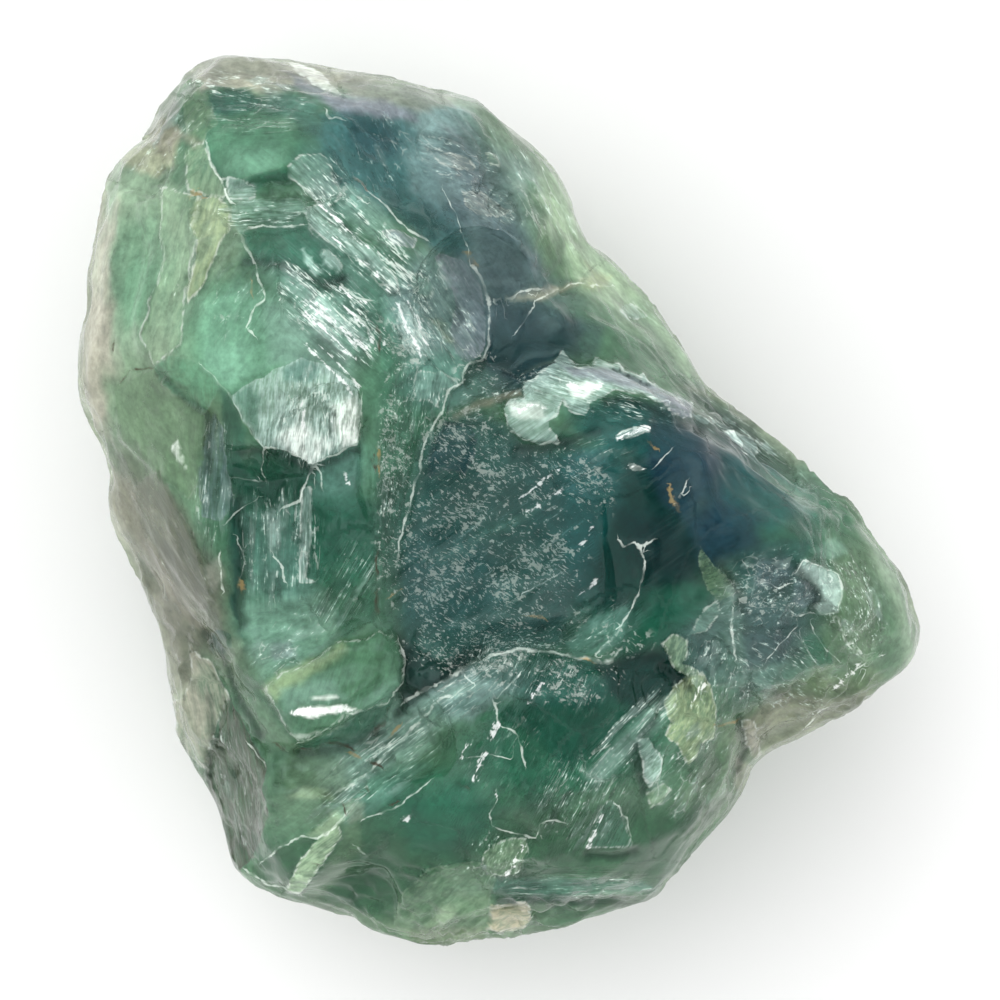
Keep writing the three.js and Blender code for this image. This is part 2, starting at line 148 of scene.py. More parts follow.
# Broad colour zones: colour, middle and half-lengths in pixels, turn in degrees, cover
ZONES = [
    ("sage", (120, 300), (80, 190), 0, 0.85), ("mist", (84, 320), (30, 210), 0, 0.9),
    ("leaf", (140, 270), (40, 60), 0, 0.5), ("fern", (170, 430), (60, 70), 0, 0.8),
    ("mist", (240, 66), (150, 22), -5, 0.8), ("jade", (250, 150), (60, 45), 0, 0.8),
    ("teal", (385, 160), (80, 60), 0, 0.8), ("slate", (480, 200), (60, 85), 0, 0.8),
    ("haze", (450, 130), (60, 40), 0, 0.95), ("fern", (530, 180), (40, 120), 28, 0.8),
    ("celadon", (580, 230), (24, 90), 34, 0.8), ("leaf", (230, 340), (60, 60), -30, 0.8),
    ("lagoon", (340, 290), (90, 60), -40, 0.7), ("jade", (410, 420), (40, 160), 8, 0.7),
    ("haze", (440, 310), (50, 60), 0, 0.8), ("seafoam", (315, 330), (50, 40), -40, 0.5),
    ("bottle", (300, 510), (90, 90), 0, 0.8), ("lagoon", (280, 600), (50, 70), 0, 0.35),
    ("bark", (170, 560), (36, 130), 30, 0.8), ("mist", (128, 580), (26, 170), 26, 0.8),
    ("abyss", (500, 560), (130, 130), 0, 0.8), ("sea", (600, 520), (80, 90), 0, 0.8),
    ("navy", (520, 345), (60, 50), -20, 0.7), ("moss", (640, 345), (50, 40), -38, 0.8),
    ("celadon", (690, 340), (24, 90), 38, 0.9), ("navy", (710, 480), (90, 80), -35, 0.9),
    ("deep", (650, 545), (70, 90), 0, 0.9), ("sea", (775, 500), (50, 50), 0, 0.6),
    ("deep", (770, 555), (50, 34), 0, 0.7), ("bottle", (660, 640), (60, 60), 0, 0.8),
    ("slate", (750, 640), (70, 60), 0, 0.5), ("jade", (810, 520), (50, 70), 40, 0.6),
    ("fern", (870, 610), (50, 90), 10, 0.8), ("sage", (905, 600), (22, 110), 16, 0.7),
    ("olive", (800, 715), (90, 34), 25, 0.6), ("moss", (450, 790), (180, 110), 0, 0.8),
    ("pine", (560, 740), (120, 60), 10, 0.8), ("pine", (430, 820), (80, 50), 0, 0.7),
    ("moss", (620, 850), (150, 60), 12, 0.7), ("fern", (720, 800), (40, 60), -40, 0.7),
    ("moss", (330, 860), (60, 60), 0, 0.6), ("fern", (450, 925), (110, 30), 0, 0.6),
    ("seafoam", (385, 732), (84, 34), 38, 0.9), ("haze", (470, 690), (60, 24), 20, 0.7),
    ("celadon", (310, 800), (50, 40), 0, 0.15), ("fern", (640, 890), (80, 24), 8, 0.5),
    ("sage", (222, 235), (26, 44), 0, 0.6), ("celadon", (606, 276), (44, 26), -38, 0.7),
    ("haze", (500, 200), (40, 60), 0, 0.4), ("slate", (520, 300), (60, 40), 0, 0.5),
    ("sage", (800, 425), (60, 16), -42, 0.8), ("fern", (130, 390), (30, 44), 0, 0.5),
    ("forest", (385, 880), (60, 44), 0, 0.8), ("forest", (450, 850), (130, 40), 0, 0.5),
    ("forest", (590, 845), (120, 34), 6, 0.7), ("forest", (690, 860), (60, 60), 0, 0.9),
    ("sea", (570, 684), (60, 24), 0, 0.5), ("sage", (320, 775), (40, 24), 0, 0.4),
    ("sea", (632, 424), (70, 26), -14, 0.8), ("deep", (655, 535), (60, 60), 0, 0.6),
    ("forest", (325, 880), (50, 40), 0, 0.8), ("bark", (176, 600), (30, 60), 24, 0.6),
    ("slate", (455, 180), (40, 40), 0, 0.6), ("haze", (500, 268), (40, 24), -20, 0.5),
    ("lagoon", (335, 470), (40, 40), 0, 0.7), ("sage", (760, 410), (60, 16), -40, 0.6),
    ("mist", (812, 432), (50, 14), -42, 0.9), ("lagoon", (440, 385), (44, 30), 0, 0.7),
    ("navy", (780, 600), (50, 50), 0, 0.5),
]

# Sheets, facets, stains and a few painted highlights, laid in this order: colour, cover, edge, outline in
# pixels. An edge of 0 is a crisp break that stands proud with a pale rim, "flat" is crisp with hardly any
# rim, and a number fades over that many millimetres, a negative one only on the crisp sheets laid before.
PATCHES = {
    "crown": [
        ("ash", 0.7, 0.5, "200,62 240,52 285,60 292,84 240,79 205,85"),
        ("ash", 0.6, 0.8, "320,66 420,85 460,95 450,106 415,112 355,98"),
        ("lilac", 0.85, 0.6, "290,72 312,82 335,95 385,100 415,114 417,122 400,120 345,114 320,99 295,86"),
        ("chalk", 0.7, 0, "285,60 303,64 322,74 345,98 318,86 296,71"),
        ("umber", 0.5, 0.5, "152,110 165,100 176,94 178,110 165,120 156,124"),
        ("fern", 0.7, "flat", "197,80 206,96 214,106 212,114 217,122 205,133 203,143 190,140 184,120 "
         "183,96"),
        ("sea", 0.45, 0.5, "215,92 240,88 262,100 262,110 215,114 206,100"),
        ("teal", 0.4, 1.0, "262,84 320,100 320,140 290,120 265,110"),
    ],
    "terrace": [
        ("leaf", 0.55, 0.8, "212,118 290,118 300,140 285,170 255,184 225,180 214,165 207,138"),
        ("mint", 0.5, 1.6, "230,150 285,150 280,172 245,180 225,170"),
        ("pine", 0.55, "flat", "243,180 262,173 288,169 290,179 270,184 257,190"),
        ("ice", 0.5, 0, "224,178 240,179 256,186 257,197 245,201 232,199"),
        ("seafoam", 0.5, "flat", "232,201 300,198 308,208 296,219 250,225 239,233 231,222"),
        ("pine", 0.7, "flat", "240,233 262,226 306,227 330,250 345,275 330,282 285,262 262,268 250,252"),
    ],
    "left side": [
        ("celadon", 0.5, 0, "184,150 205,140 214,168 229,197 205,195 188,190"),
        ("moss", 0.6, 0.5, "170,178 180,165 187,160 186,186 175,184"),
        ("cream", 0.5, 0.6, "116,152 140,140 152,120 166,118 180,130 172,165 158,179 140,172 125,165"),
        ("taupe", 0.5, 0.6, "146,135 160,118 190,135 204,140 196,150 182,138 165,160"),
        ("celadon", 0.35, 0, "160,186 175,190 198,197 190,212 198,232 194,255 186,290 184,322 180,345 "
         "170,355 155,366 148,350 139,336 148,316 148,302 158,278 163,257 159,235 162,212"),
        ("lime", 0.6, 0, "196,199 213,196 228,201 230,215 228,231 220,245 214,262 207,274 203,286 189,303 "
         "187,292 195,264 196,240 189,220 190,210"),
        ("leaf", 0.45, 1.0, "125,272 140,254 157,266 150,296 142,318 128,330 120,300"),
        ("fern", 0.5, "flat", "112,385 150,370 170,392 205,412 205,470 190,500 160,480 118,440"),
        ("leaf", 0.7, "flat", "154,367 172,356 190,360 202,364 222,387 212,400 206,412 188,402 168,390"),
        ("chalk", 0.6, 0, "168,446 178,440 187,471 178,462"),
    ],
    "dome": [
        ("mint", 0.6, 1.5, "200,300 240,285 262,300 270,330 300,352 275,368 250,384 232,390 214,375 "
         "200,350"),
        ("mint", 0.8, 0.8, "205,350 240,345 250,372 232,389 218,380 204,364"),
        ("seafoam", 0.55, 1.0, "262,300 300,305 345,350 356,385 300,362 270,366"),
        # Painted reflection: this ice facet, and the ice and white patches on it, are the light's glare on
        # the flat facet
        ("ice", 0.7, "flat", "240,416 232,396 262,378 300,357 330,366 355,384 362,402 357,443 340,451 "
         "312,464 290,452 262,447"),
        ("jade", 0.65, 0.5, "233,394 252,385 262,398 257,434 246,420"),
        ("lagoon", 0.7, 0.4, "283,368 305,357 320,368 314,382 285,380"),
        ("ice", 0.75, -1.2, "262,420 290,404 306,424 330,398 356,388 364,420 352,450 312,466 262,448"),
        ("white", 0.95, -0.9, "336,404 356,396 364,420 358,446 342,450 332,430"),
        ("white", 0.95, -0.9, "278,436 296,424 309,430 334,444 313,466 296,458"),
        ("white", 0.6, -0.4, "299,396 304,400 307,440 300,440"),
    ],
    "feather": [
        ("seafoam", 0.6, 0, "287,168 299,156 320,153 331,168 333,181 346,197 330,206 316,202 301,186 "
         "288,178"),
        ("ice", 0.5, 0, "303,207 326,204 346,224 372,250 397,276 402,295 386,284 360,262 334,246 309,225"),
        ("seafoam", 0.5, 0.5, "330,190 352,185 378,205 400,232 412,252 395,256 370,236 345,215"),
        ("lilac", 0.6, 0, "378,228 398,229 418,239 413,248 396,246"),
        ("seafoam", 0.7, 0, "411,274 425,275 436,291 428,300 414,294"),
        ("ice", 0.5, 0, "437,263 450,276 464,296 448,293 438,282"),
        ("ice", 0.6, 0, "320,249 330,249 343,267 341,276 327,268"),
        ("ice", 0.5, "flat", "301,248 313,257 321,270 319,279 308,266"),
        ("ice", 0.6, 0.5, "303,299 322,298 342,320 360,334 373,346 352,339 331,326 314,318"),
        ("ice", 0.5, 0.5, "306,316 330,330 352,356 340,352 318,336"),
        ("ice", 0.6, "flat", "398,300 414,306 425,330 431,356 420,368 404,346 396,320"),
        ("olive", 0.6, 0.4, "426,318 442,322 454,340 450,346 440,330"),
        ("ice", 0.5, 0, "418,370 440,372 458,381 457,388 442,392 438,408 428,400 418,402 414,388"),
    ],
    "blue lobe": [
        ("teal", 0.6, 0.6, "320,114 345,110 400,120 418,130 422,160 442,186 470,240 465,262 430,246 "
         "400,214 385,194 350,170 322,150"),
        ("navy", 0.45, 1.4, "345,114 385,116 400,130 398,152 372,160 352,146"),
        ("abyss", 0.45, 0.8, "382,195 400,179 414,202 442,218 466,246 425,240 396,216"),
        ("lilac", 0.7, "flat", "432,250 468,262 482,290 487,320 483,352 468,362 456,352 451,330 456,302 "
         "442,272"),
        ("slate", 0.45, 1.0, "440,130 480,130 502,160 522,220 540,272 520,292 500,298 472,252 446,190"),
        ("steel", 0.4, 1.0, "478,215 520,220 536,262 520,290 500,296 485,270"),
        ("ash", 0.45, 0, "463,190 480,191 500,204 513,213 500,218 478,213 466,203"),
        ("ash", 0.45, 0, "430,156 450,151 470,158 479,170 462,171 440,163"),
        ("sage", 0.5, 0, "484,152 496,155 503,167 490,167"),
        ("sage", 0.5, 0.8, "500,114 545,160 580,220 622,266 590,262 556,204 528,160"),
        ("cream", 0.5, 0.4, "508,299 530,288 562,287 588,279 566,291 540,301"),
        ("lime", 0.7, 0.5, "586,262 594,272 612,278 600,290 584,287 592,276"),
        ("haze", 0.5, 1.0, "405,150 445,150 470,190 440,205 410,190"),
        ("slate", 0.5, 1.0, "455,250 540,250 550,290 500,300 490,340 460,340"),
        ("lagoon", 0.5, 1.0, "410,355 440,350 500,370 490,395 440,405 410,400"),
    ],
    "dark lobe": [
        ("navy", 0.4, 0.4, "495,300 540,300 590,330 560,352 535,378 523,384 492,372 486,356 492,322"),
        ("steel", 0.5, 0.8, "556,330 580,318 604,326 596,360 570,352"),
        ("sage", 0.5, 0.8, "600,292 655,303 694,356 722,392 690,380 655,345 620,322"),
        ("ice", 0.4, 0, "620,308 633,303 646,317 634,321 622,316"),
        ("steel", 0.3, "flat", "466,366 482,359 498,366 523,382 524,392 484,396 455,410 443,418 452,392 "
         "462,382"),
        ("taupe", 0.6, 0.3, "448,419 474,403 520,388 525,395 482,408 456,421"),
    ],
    "wing": [
        ("ice", 0.65, 0, "524,381 534,378 546,368 557,361 561,347 568,358 577,366 590,366 597,358 612,364 "
         "618,362 624,371 640,377 644,372 648,381 692,404 692,417 665,404 640,394 616,390 603,397 589,402 "
         "586,415 572,412 564,401 556,417 548,422 562,444 536,443 518,437 508,428 504,408 509,400 525,398"),
        ("lilac", 0.75, 0.4, "562,366 612,368 650,383 692,404 692,413 650,393 610,383 572,376"),
        # Painted highlight: the chalk band along the wing's top
        ("chalk", 0.6, 0.3, "566,384 592,382 601,385 584,398 572,398"),
        ("chalk", 0.45, 0.3, "508,402 540,402 546,417 528,420 512,416"),
        ("lilac", 0.8, 0, "662,400 674,396 690,407 691,417 680,418 668,412"),
        ("ice", 0.8, 0, "613,439 621,431 638,426 651,425 650,432 633,437"),
        ("chalk", 0.5, 0, "626,467 634,463 645,468 634,471"),
        ("ice", 0.75, 0, "720,431 736,430 752,438 759,450 755,457 744,450 733,442"),
        ("ice", 0.6, 0, "754,438 766,444 778,458 768,455"),
        ("ice", 0.5, 0, "690,414 702,415 716,425 702,422"),
        ("olive", 0.5, 0.5, "676,386 706,390 742,402 735,407 700,396"),
    ],
    "hollow": [
        ("abyss", 0.7, 1.0, "422,440 445,421 480,410 506,425 522,446 560,462 582,500 592,540 572,600 "
         "560,640 520,649 478,660 430,688 406,690 402,600 406,550 418,480"),
        ("navy", 0.55, "flat", "444,421 470,424 480,441 466,476 446,470 426,480 430,452"),
        ("steel", 0.6, "flat", "440,436 464,425 478,441 452,442"),
        ("lagoon", 0.4, 0.8, "420,560 460,540 505,522 545,503 520,522 482,546 442,566"),
        ("sea", 0.6, 1.0, "560,460 622,440 622,500 602,540 582,602 566,560"),
        ("teal", 0.55, 0.8, "566,456 602,448 614,478 592,502 568,490"),
        ("ice", 0.35, 0, "540,508 556,506 562,508 545,510"),
        ("teal", 0.45, 2.0, "408,540 450,520 490,540 500,600 450,625 408,610"),
        ("lagoon", 0.5, 0.3, "566,642 590,620 626,604 631,613 622,640 600,655 574,656"),
        ("ink", 0.8, 2.5, "616,510 680,516 706,560 694,590 650,576 630,548"),
        ("deep", 0.8, 0.5, "402,640 440,662 468,652 450,676 420,700 402,716 398,690"),
        ("pine", 0.5, 0.8, "642,592 690,582 716,592 702,616 662,640 630,642"),
        ("deep", 0.9, 0.8, "600,668 640,652 666,652 692,682 660,702 640,716 612,700"),
        ("bottle", 0.6, 0.5, "500,654 560,653 606,664 580,690 530,690 480,680 470,668"),
    ],
    "right lobe": [
        ("navy", 0.6, 0.8, "650,420 700,428 722,460 702,500 688,520 660,500 648,460"),
        ("sea", 0.6, 1.0, "722,446 780,470 802,510 770,532 732,512 720,480"),
        ("navy", 0.6, 1.2, "686,520 722,498 762,516 760,546 722,560 708,572 698,548"),
        ("abyss", 0.5, 0.4, "722,562 770,540 812,540 802,560 770,558 742,590"),
        ("fern", 0.6, "flat", "699,545 714,566 731,581 736,592 720,602 708,590 701,570"),
        ("lagoon", 0.5, 0.8, "778,468 802,488 820,522 802,516 786,490"),
        ("slate", 0.5, 0.5, "756,560 786,558 792,580 776,590 756,584"),
        ("slate", 0.6, 0.3, "796,580 808,582 820,592 820,602 804,608 792,600"),
        ("ice", 0.65, 0.25, "796,573 803,561 818,565 838,575 843,592 838,611 826,613 812,606 821,600 "
         "819,588 807,580"),
        ("seafoam", 0.5, 0.4, "812,548 836,538 848,550 832,560 816,556"),
        ("fern", 0.8, "flat", "842,634 850,627 870,630 876,645 868,656 851,650"),
        ("pine", 0.6, "flat", "800,637 812,633 823,638 826,650 836,662 820,668 806,652"),
        ("sage", 0.5, 0.8, "842,490 880,540 908,600 920,640 908,660 896,596 860,534"),
        ("moss", 0.5, 0.8, "870,570 894,600 904,650 888,680 868,662 880,630"),
        ("steel", 0.5, 0.5, "742,632 792,636 786,662 748,668"),
        ("taupe", 0.5, 0.6, "742,722 780,690 832,700 872,690 860,712 800,742 760,760 746,746"),
        ("ice", 0.35, 0.3, "725,586 738,580 743,594 730,600"),
        ("mist", 0.5, 0, "742,722 752,720 762,750 756,764 746,746"),
    ],
    "window": [
        ("bottle", 0.6, 0.5, "221,388 234,399 246,430 242,470 228,482 222,440"),
        ("slate", 0.6, "flat", "204,440 214,412 223,430 228,470 234,505 222,520 204,516 198,480"),
        ("bottle", 0.2, 0.6, "240,462 265,452 300,460 318,470 312,496 280,502 250,500 236,488"),
        ("pine", 0.5, 0.8, "312,500 370,490 373,560 345,592 312,585"),
        ("leaf", 0.5, 0.8, "360,385 372,340 380,360 380,430 374,500 360,496 362,450"),
        ("lagoon", 0.35, 0.6, "242,512 300,505 302,580 322,590 296,602 248,590"),
        ("ice", 0.45, 0, "301,487 311,486 312,530 306,578 318,584 298,584 300,540"),
        ("ice", 0.35, 0.3, "266,512 277,506 279,540 272,556 266,536"),
        ("seafoam", 0.3, 0.8, "246,602 322,592 346,620 330,650 290,664 262,680 246,650"),
        ("bottle", 0.9, 0.3, "231,500 238,498 241,560 238,622 243,642 233,612 230,540"),
        ("lilac", 0.35, 0.4, "270,645 290,641 295,655 275,660"),
        ("pine", 0.4, 0.6, "330,592 372,540 372,620 340,640"),
    ],
    "brown side": [
        ("bark", 0.6, "flat", "128,492 158,470 196,540 216,600 202,612 165,562"),
        ("taupe", 0.5, 0.6, "108,468 128,478 134,500 150,540 192,602 206,634 188,622 158,580 132,540 "
         "108,508"),
        ("bark", 0.6, 0.5, "150,600 180,612 202,642 190,680 166,700 158,640"),
        ("mist", 0.6, 0, "188,640 196,655 211,660 229,698 220,714 210,742 209,772 196,762 178,746 172,700 "
         "184,698 192,676"),
        ("umber", 0.85, "flat", "230,699 241,716 256,746 268,770 262,790 269,816 252,860 240,872 224,850 "
         "210,800 206,778 213,744 221,716"),
        ("ash", 0.5, 0.3, "205,566 218,555 223,575 214,592 207,586"),
        ("bottle", 0.8, "flat", "209,634 222,630 232,636 231,646 222,660 212,650"),
        ("sage", 0.4, 0.5, "222,640 242,640 240,660 228,668"),
    ],
    "toe": [
        ("pine", 0.6, "flat", "298,744 330,735 356,714 396,692 388,722 352,744 300,750"),
        ("leaf", 0.5, 0, "264,690 284,672 310,664 338,640 368,640 378,630 396,640 405,660 402,684 388,704 "
         "352,712 330,730 298,742 282,722 274,706"),
        ("lime", 0.45, 0.8, "262,690 284,670 322,656 342,640 346,650 306,680 284,692 276,702"),
        ("seafoam", 0.5, 0.8, "280,690 330,680 350,700 300,706 284,716"),
        # Painted highlights: the chalk bar and the thin chalk line above it
        ("chalk", 1.0, 0.15, "289,713 300,708 324,706 350,707 356,709 338,714 305,717"),
        ("chalk", 0.7, 0.1, "312,698 338,697 338,700 320,701"),
        ("chalk", 0.5, 0.2, "290,732 306,734 320,731 305,738 294,738"),
        ("sage", 0.3, 0.5, "236,690 262,702 283,730 299,748 280,750 262,736"),
    ],
    "lower left": [
        ("moss", 0.35, 0.6, "272,770 300,756 340,750 310,780 276,795"),
        ("moss", 0.5, "flat", "270,822 300,812 338,798 346,806 340,822 320,838 300,834 276,848 260,862"),
        ("celadon", 0.7, 0.3, "285,800 305,786 330,790 346,806 345,820 326,838 306,836 330,818 338,802 "
         "318,797"),
        ("forest", 0.7, 0.3, "262,862 280,848 300,838 318,839 300,870 288,890 260,884 250,870"),
        ("celadon", 0.9, 0, "317,840 339,824 341,836 326,860 300,894 286,892 292,872 306,852"),
        ("fern", 0.5, 0.5, "344,820 360,818 362,850 340,880 312,900 304,894 328,862 342,838"),
        ("cream", 0.5, 0.4, "342,802 362,800 364,818 350,822"),
    ],
    "lower mass": [
        ("pine", 0.6, 1.5, "400,800 470,780 492,830 450,850 410,850"),
        ("seafoam", 0.5, 0.8, "350,768 380,736 420,704 452,688 480,684 440,704 400,746 366,776"),
        ("lagoon", 0.5, 0.8, "330,802 362,776 432,760 402,790 370,816 346,824"),
        ("bottle", 0.6, 1.0, "430,712 470,700 502,716 542,742 562,770 602,750 640,712 606,690 560,696 "
         "520,704"),
        ("seafoam", 0.55, 0.6, "680,690 668,716 640,746 610,776 594,792 584,774 620,736 652,704"),
        ("lagoon", 0.3, 0, "586,849 600,806 612,799 622,815 633,845"),
        ("lime", 0.65, 0, "664,702 674,686 690,675 702,673 712,690 718,720 714,738 700,744 698,756 688,763 "
         "678,746 664,736 672,722 667,710"),
        ("ice", 0.6, 0, "637,742 648,737 655,750 663,758 660,775 650,788 643,777 641,760"),
        ("celadon", 0.5, 0, "647,792 664,783 673,792 662,803 648,807"),
        ("celadon", 0.6, 0, "662,643 674,632 688,640 689,655 684,664 702,673 686,676 672,665"),
        ("seafoam", 0.5, 0, "686,636 704,611 717,599 720,612 709,629"),
        ("celadon", 0.45, 0, "479,866 486,850 500,841 526,837 529,850 518,872 504,878 490,874"),
        ("lagoon", 0.5, 0.5, "494,880 560,879 640,881 658,890 600,896 540,897 494,893"),
        ("pine", 0.4, 0.5, "494,897 560,894 622,899 600,905 496,903"),
        ("celadon", 0.25, "flat", "400,948 394,920 400,895 426,870 460,861 486,862 496,880 490,902 488,944 "
         "450,950"),
        ("celadon", 0.6, 0.4, "424,927 445,905 461,904 456,915 438,929"),
        ("olive", 0.4, 0.6, "402,930 440,928 484,926 486,944 420,948"),
        ("cream", 0.85, 0, "490,905 526,901 532,918 526,928 500,933 489,929"),
        ("mist", 0.6, 0.3, "736,756 753,768 751,792 742,802 734,786"),
    ],
}

# Thin lines by kind: half width in mm and path in pixels. Pale ones stand proud, and rust and shade ones
# are grooves. Shade ones also darken the colour as painted shade, and white ones are partly painted
# highlights.
LINES = {
    "pale": [
        (0.34, "404,702 425,690 445,682 460,668 480,660 500,652 520,650 550,650 575,657 590,658 602,663 "
         "612,659 620,651"),
        (0.22, "640,545 644,560 643,575 638,592 634,606 625,622 612,642"),
        (0.26, "620,540 623,548 630,545 636,543 640,550 652,542"),
        (0.3, "472,262 482,280 488,298 491,320 488,345 484,360"),
        (0.24, "484,360 470,362 462,374 462,383 452,386 448,396 440,413 430,430 424,450 420,470 413,490 "
         "408,515 400,540 396,565"),
        (0.26, "493,299 512,298 520,291 531,288 545,290"),
        (0.24, "535,301 550,293 565,288 578,282 590,286 610,286"), (0.14, "502,300 504,314"),
        (0.14, "515,334 525,320 534,307"), (0.2, "208,142 211,160 215,172 222,185 233,201"),
        (0.18, "238,232 248,228 262,225 280,227 302,226"),
        (0.2, "240,235 247,250 254,262 258,275 263,290 266,298 255,306 250,318 246,328 253,335"),
        (0.14, "204,366 222,386 232,398 240,415 250,432 262,446"),
        (0.2, "262,447 290,452 312,464 335,455 357,444 362,420 361,398"),
        (0.22, "312,464 308,478 302,490 300,500 284,508"), (0.2, "314,464 320,474 321,488"),
        (0.14, "262,448 262,470 265,480"), (0.14, "234,478 248,479 258,481"),
        (0.12, "226,522 245,506 258,499"), (0.22, "275,556 283,565 284,580"),
        (0.14, "236,538 245,560 240,576"), (0.22, "218,556 220,575 223,590"),
        (0.16, "300,742 320,735 345,714 386,705 401,685 406,660 398,640"),
        (0.2, "262,862 280,847 300,836 318,839 335,828 346,814"), (0.26, "248,871 265,882 288,890 299,894"),
        (0.18, "247,741 255,752 264,765"), (0.3, "340,790 365,775 390,752 420,722 440,700 462,690"),
        (0.2, "365,820 395,808 412,795 430,780"), (0.32, "495,697 496,712 498,722"),
        (0.12, "470,757 484,755 500,755 510,758"), (0.22, "498,724 508,728 517,735 521,746 524,763"),
        (0.14, "497,700 512,682 519,674"), (0.22, "460,668 472,683"),
        (0.18, "496,800 488,815 491,826 510,833 535,837"), (0.14, "535,836 540,824 550,820 566,822"),
        (0.2, "617,806 626,820 632,838"), (0.24, "596,655 614,637 620,628"),
        (0.2, "806,726 818,713 827,707"), (0.22, "838,616 840,630 850,648 866,659 880,656"),
        (0.24, "732,612 733,635 736,656"), (0.1, "445,190 456,216 469,252"),
        (0.14, "523,593 545,581 561,571"), (0.14, "688,482 676,500 690,490"),
        (0.12, "652,469 662,460 672,449"), (0.3, "328,113 330,116"), (0.22, "336,116 341,118"),
        (0.16, "355,176 372,196 392,214 410,230 426,240"), (0.2, "346,186 352,196 364,203"),
        (0.16, "356,232 380,250 398,268 414,280"), (0.16, "340,285 358,298 374,300"),
        (0.22, "358,316 370,330 378,344"), (0.3, "357,848 363,854"),
        (0.16, "752,592 757,580 770,583 778,590 790,584"), (0.14, "792,610 800,616 812,612"),
        (0.14, "846,626 852,640 862,652 874,652"), (0.12, "800,636 808,650 818,664"),
        (0.12, "812,628 826,650 838,660"), (0.14, "836,688 846,682 856,668 864,662"),
        (0.12, "768,660 784,640 796,628"), (0.12, "862,680 868,668 878,654"),
        (0.16, "796,573 803,561 818,565 838,575 843,592 838,611 826,613"),
    ],
    # Bright white streaks: partly white fractures in the stone, partly painted highlights and glints
    "white": [
        (0.4, "303,299 314,308 326,318 338,328 352,338 366,347"), (0.26, "316,300 328,310 340,321"),
        (0.32, "305,313 317,323 330,336 344,348 356,357"), (0.2, "340,286 350,296 361,301 368,301"),
        (0.26, "344,306 356,317 368,330 373,345"), (0.34, "383,329 385,342"),
        (0.24, "300,342 314,352 330,368 344,384 356,398"), (0.24, "318,344 335,358 350,376 358,388"),
        (0.3, "322,206 338,218 352,232 366,248"), (0.24, "330,236 350,252 372,268 392,290"),
        (0.3, "396,300 404,318 412,336 422,356"), (0.24, "408,302 418,322 428,346"),
        # Painted highlights: the first two strokes streak the dome's glare, and the next ones glint along a
        # real crack below the toe
        (0.26, "302,402 304,420 303,440"), (0.26, "331,400 331,420 329,442"), (0.44, "498,722 490,738"),
        (0.4, "485,752 480,765 476,781"), (0.3, "527,703 536,692 542,683"),
        (0.24, "459,758 466,748 473,741"), (0.26, "495,790 496,796"), (0.3, "404,820 410,816"),
        # Painted highlight: the first stroke runs along the wing's top
        (0.3, "566,385 582,389 602,385"), (0.44, "617,438 632,433 648,427"),
        (0.26, "626,468 634,465 644,467"), (0.34, "580,592 590,586 597,580"),
        (0.3, "580,543 588,537 594,528"), (0.22, "520,497 540,484 559,470"),
        (0.22, "526,512 545,500 563,488"), (0.16, "540,507 560,508"), (0.3, "836,689 848,676 860,662"),
        # Painted highlight: the first stroke is the toe's highlight bar
        (0.44, "292,711 306,710 322,712 338,711 350,709"), (0.34, "692,700 698,692 703,684"),
        (0.3, "588,848 594,832 602,814"), (0.3, "506,876 516,862 524,846"), (0.24, "344,474 348,486"),
        (0.3, "520,412 532,404 546,408"),
    ],
    # Painted shade: dark strokes in the crevices, cut in as grooves and darkening the colour
    "shade": [
        (0.6, "484,364 470,374 463,386"), (0.7, "520,448 548,447 572,441 598,429"),
        (0.8, "606,400 630,402 655,410 676,422 700,430"),
        (0.6, "240,452 262,452 286,456 312,469 332,462 357,451"), (0.7, "238,500 241,560 241,625"),
        (0.9, "404,696 430,686 455,670 480,652"), (0.8, "300,753 330,749 352,743 380,729"),
        (0.7, "400,712 406,690 408,664 402,640"), (0.8, "600,668 625,662 660,655 664,668 688,684"),
        (0.6, "664,704 652,722 640,738"), (0.5, "588,854 610,856 636,850"),
        (0.7, "500,899 560,900 640,904"), (0.8, "722,566 738,590 742,610"),
        (0.6, "796,566 810,584 820,596 812,608"), (0.7, "246,262 285,266 325,286 345,280"),
        (0.7, "240,186 262,180 290,178"), (0.6, "206,634 222,650 240,700 262,736"),
        (0.6, "210,700 212,742 206,778"), (0.6, "160,372 186,400 208,414 208,470"),
        (0.7, "646,792 640,770 636,746"), (0.6, "740,720 744,748 738,770"),
    ],
    "rust": [
        (0.3, "376,326 379,336 379,352"), (0.32, "375,457 376,466"), (0.26, "378,545 377,560 378,576"),
        (0.42, "376,592 375,606 378,619"), (0.3, "300,750 315,747 330,742 345,744 352,748"),
        (0.3, "279,746 285,750"), (0.7, "388,712 383,725 376,733"), (0.26, "358,716 359,720"),
        (0.24, "353,176 360,182 366,188"), (0.18, "569,273 571,282"), (0.3, "366,777 368,790"),
        (0.14, "344,805 346,815"), (0.34, "372,762 382,768"), (0.3, "355,798 361,796"),
        (0.28, "389,806 396,803"), (0.26, "463,785 468,788"), (0.16, "122,382 130,370 148,369"),
        (0.16, "114,342 113,350"), (0.24, "316,863 320,864"),
    ],
    "gold": [
        (0.6, "467,254 474,262"), (0.44, "670,487 671,490"), (0.54, "674,500 677,507"),
        (0.26, "650,444 655,448"), (0.6, "240,584 242,590"), (0.3, "529,615 542,619"),
        (0.3, "390,597 398,592"), (0.4, "195,190 190,194 202,196"), (0.3, "350,752 358,756"),
        (0.3, "392,734 400,726"), (0.24, "252,284 252,294"), (0.24, "583,658 591,661"),
        (0.2, "378,450 380,470"), (0.26, "718,726 736,722"),
    ],
}

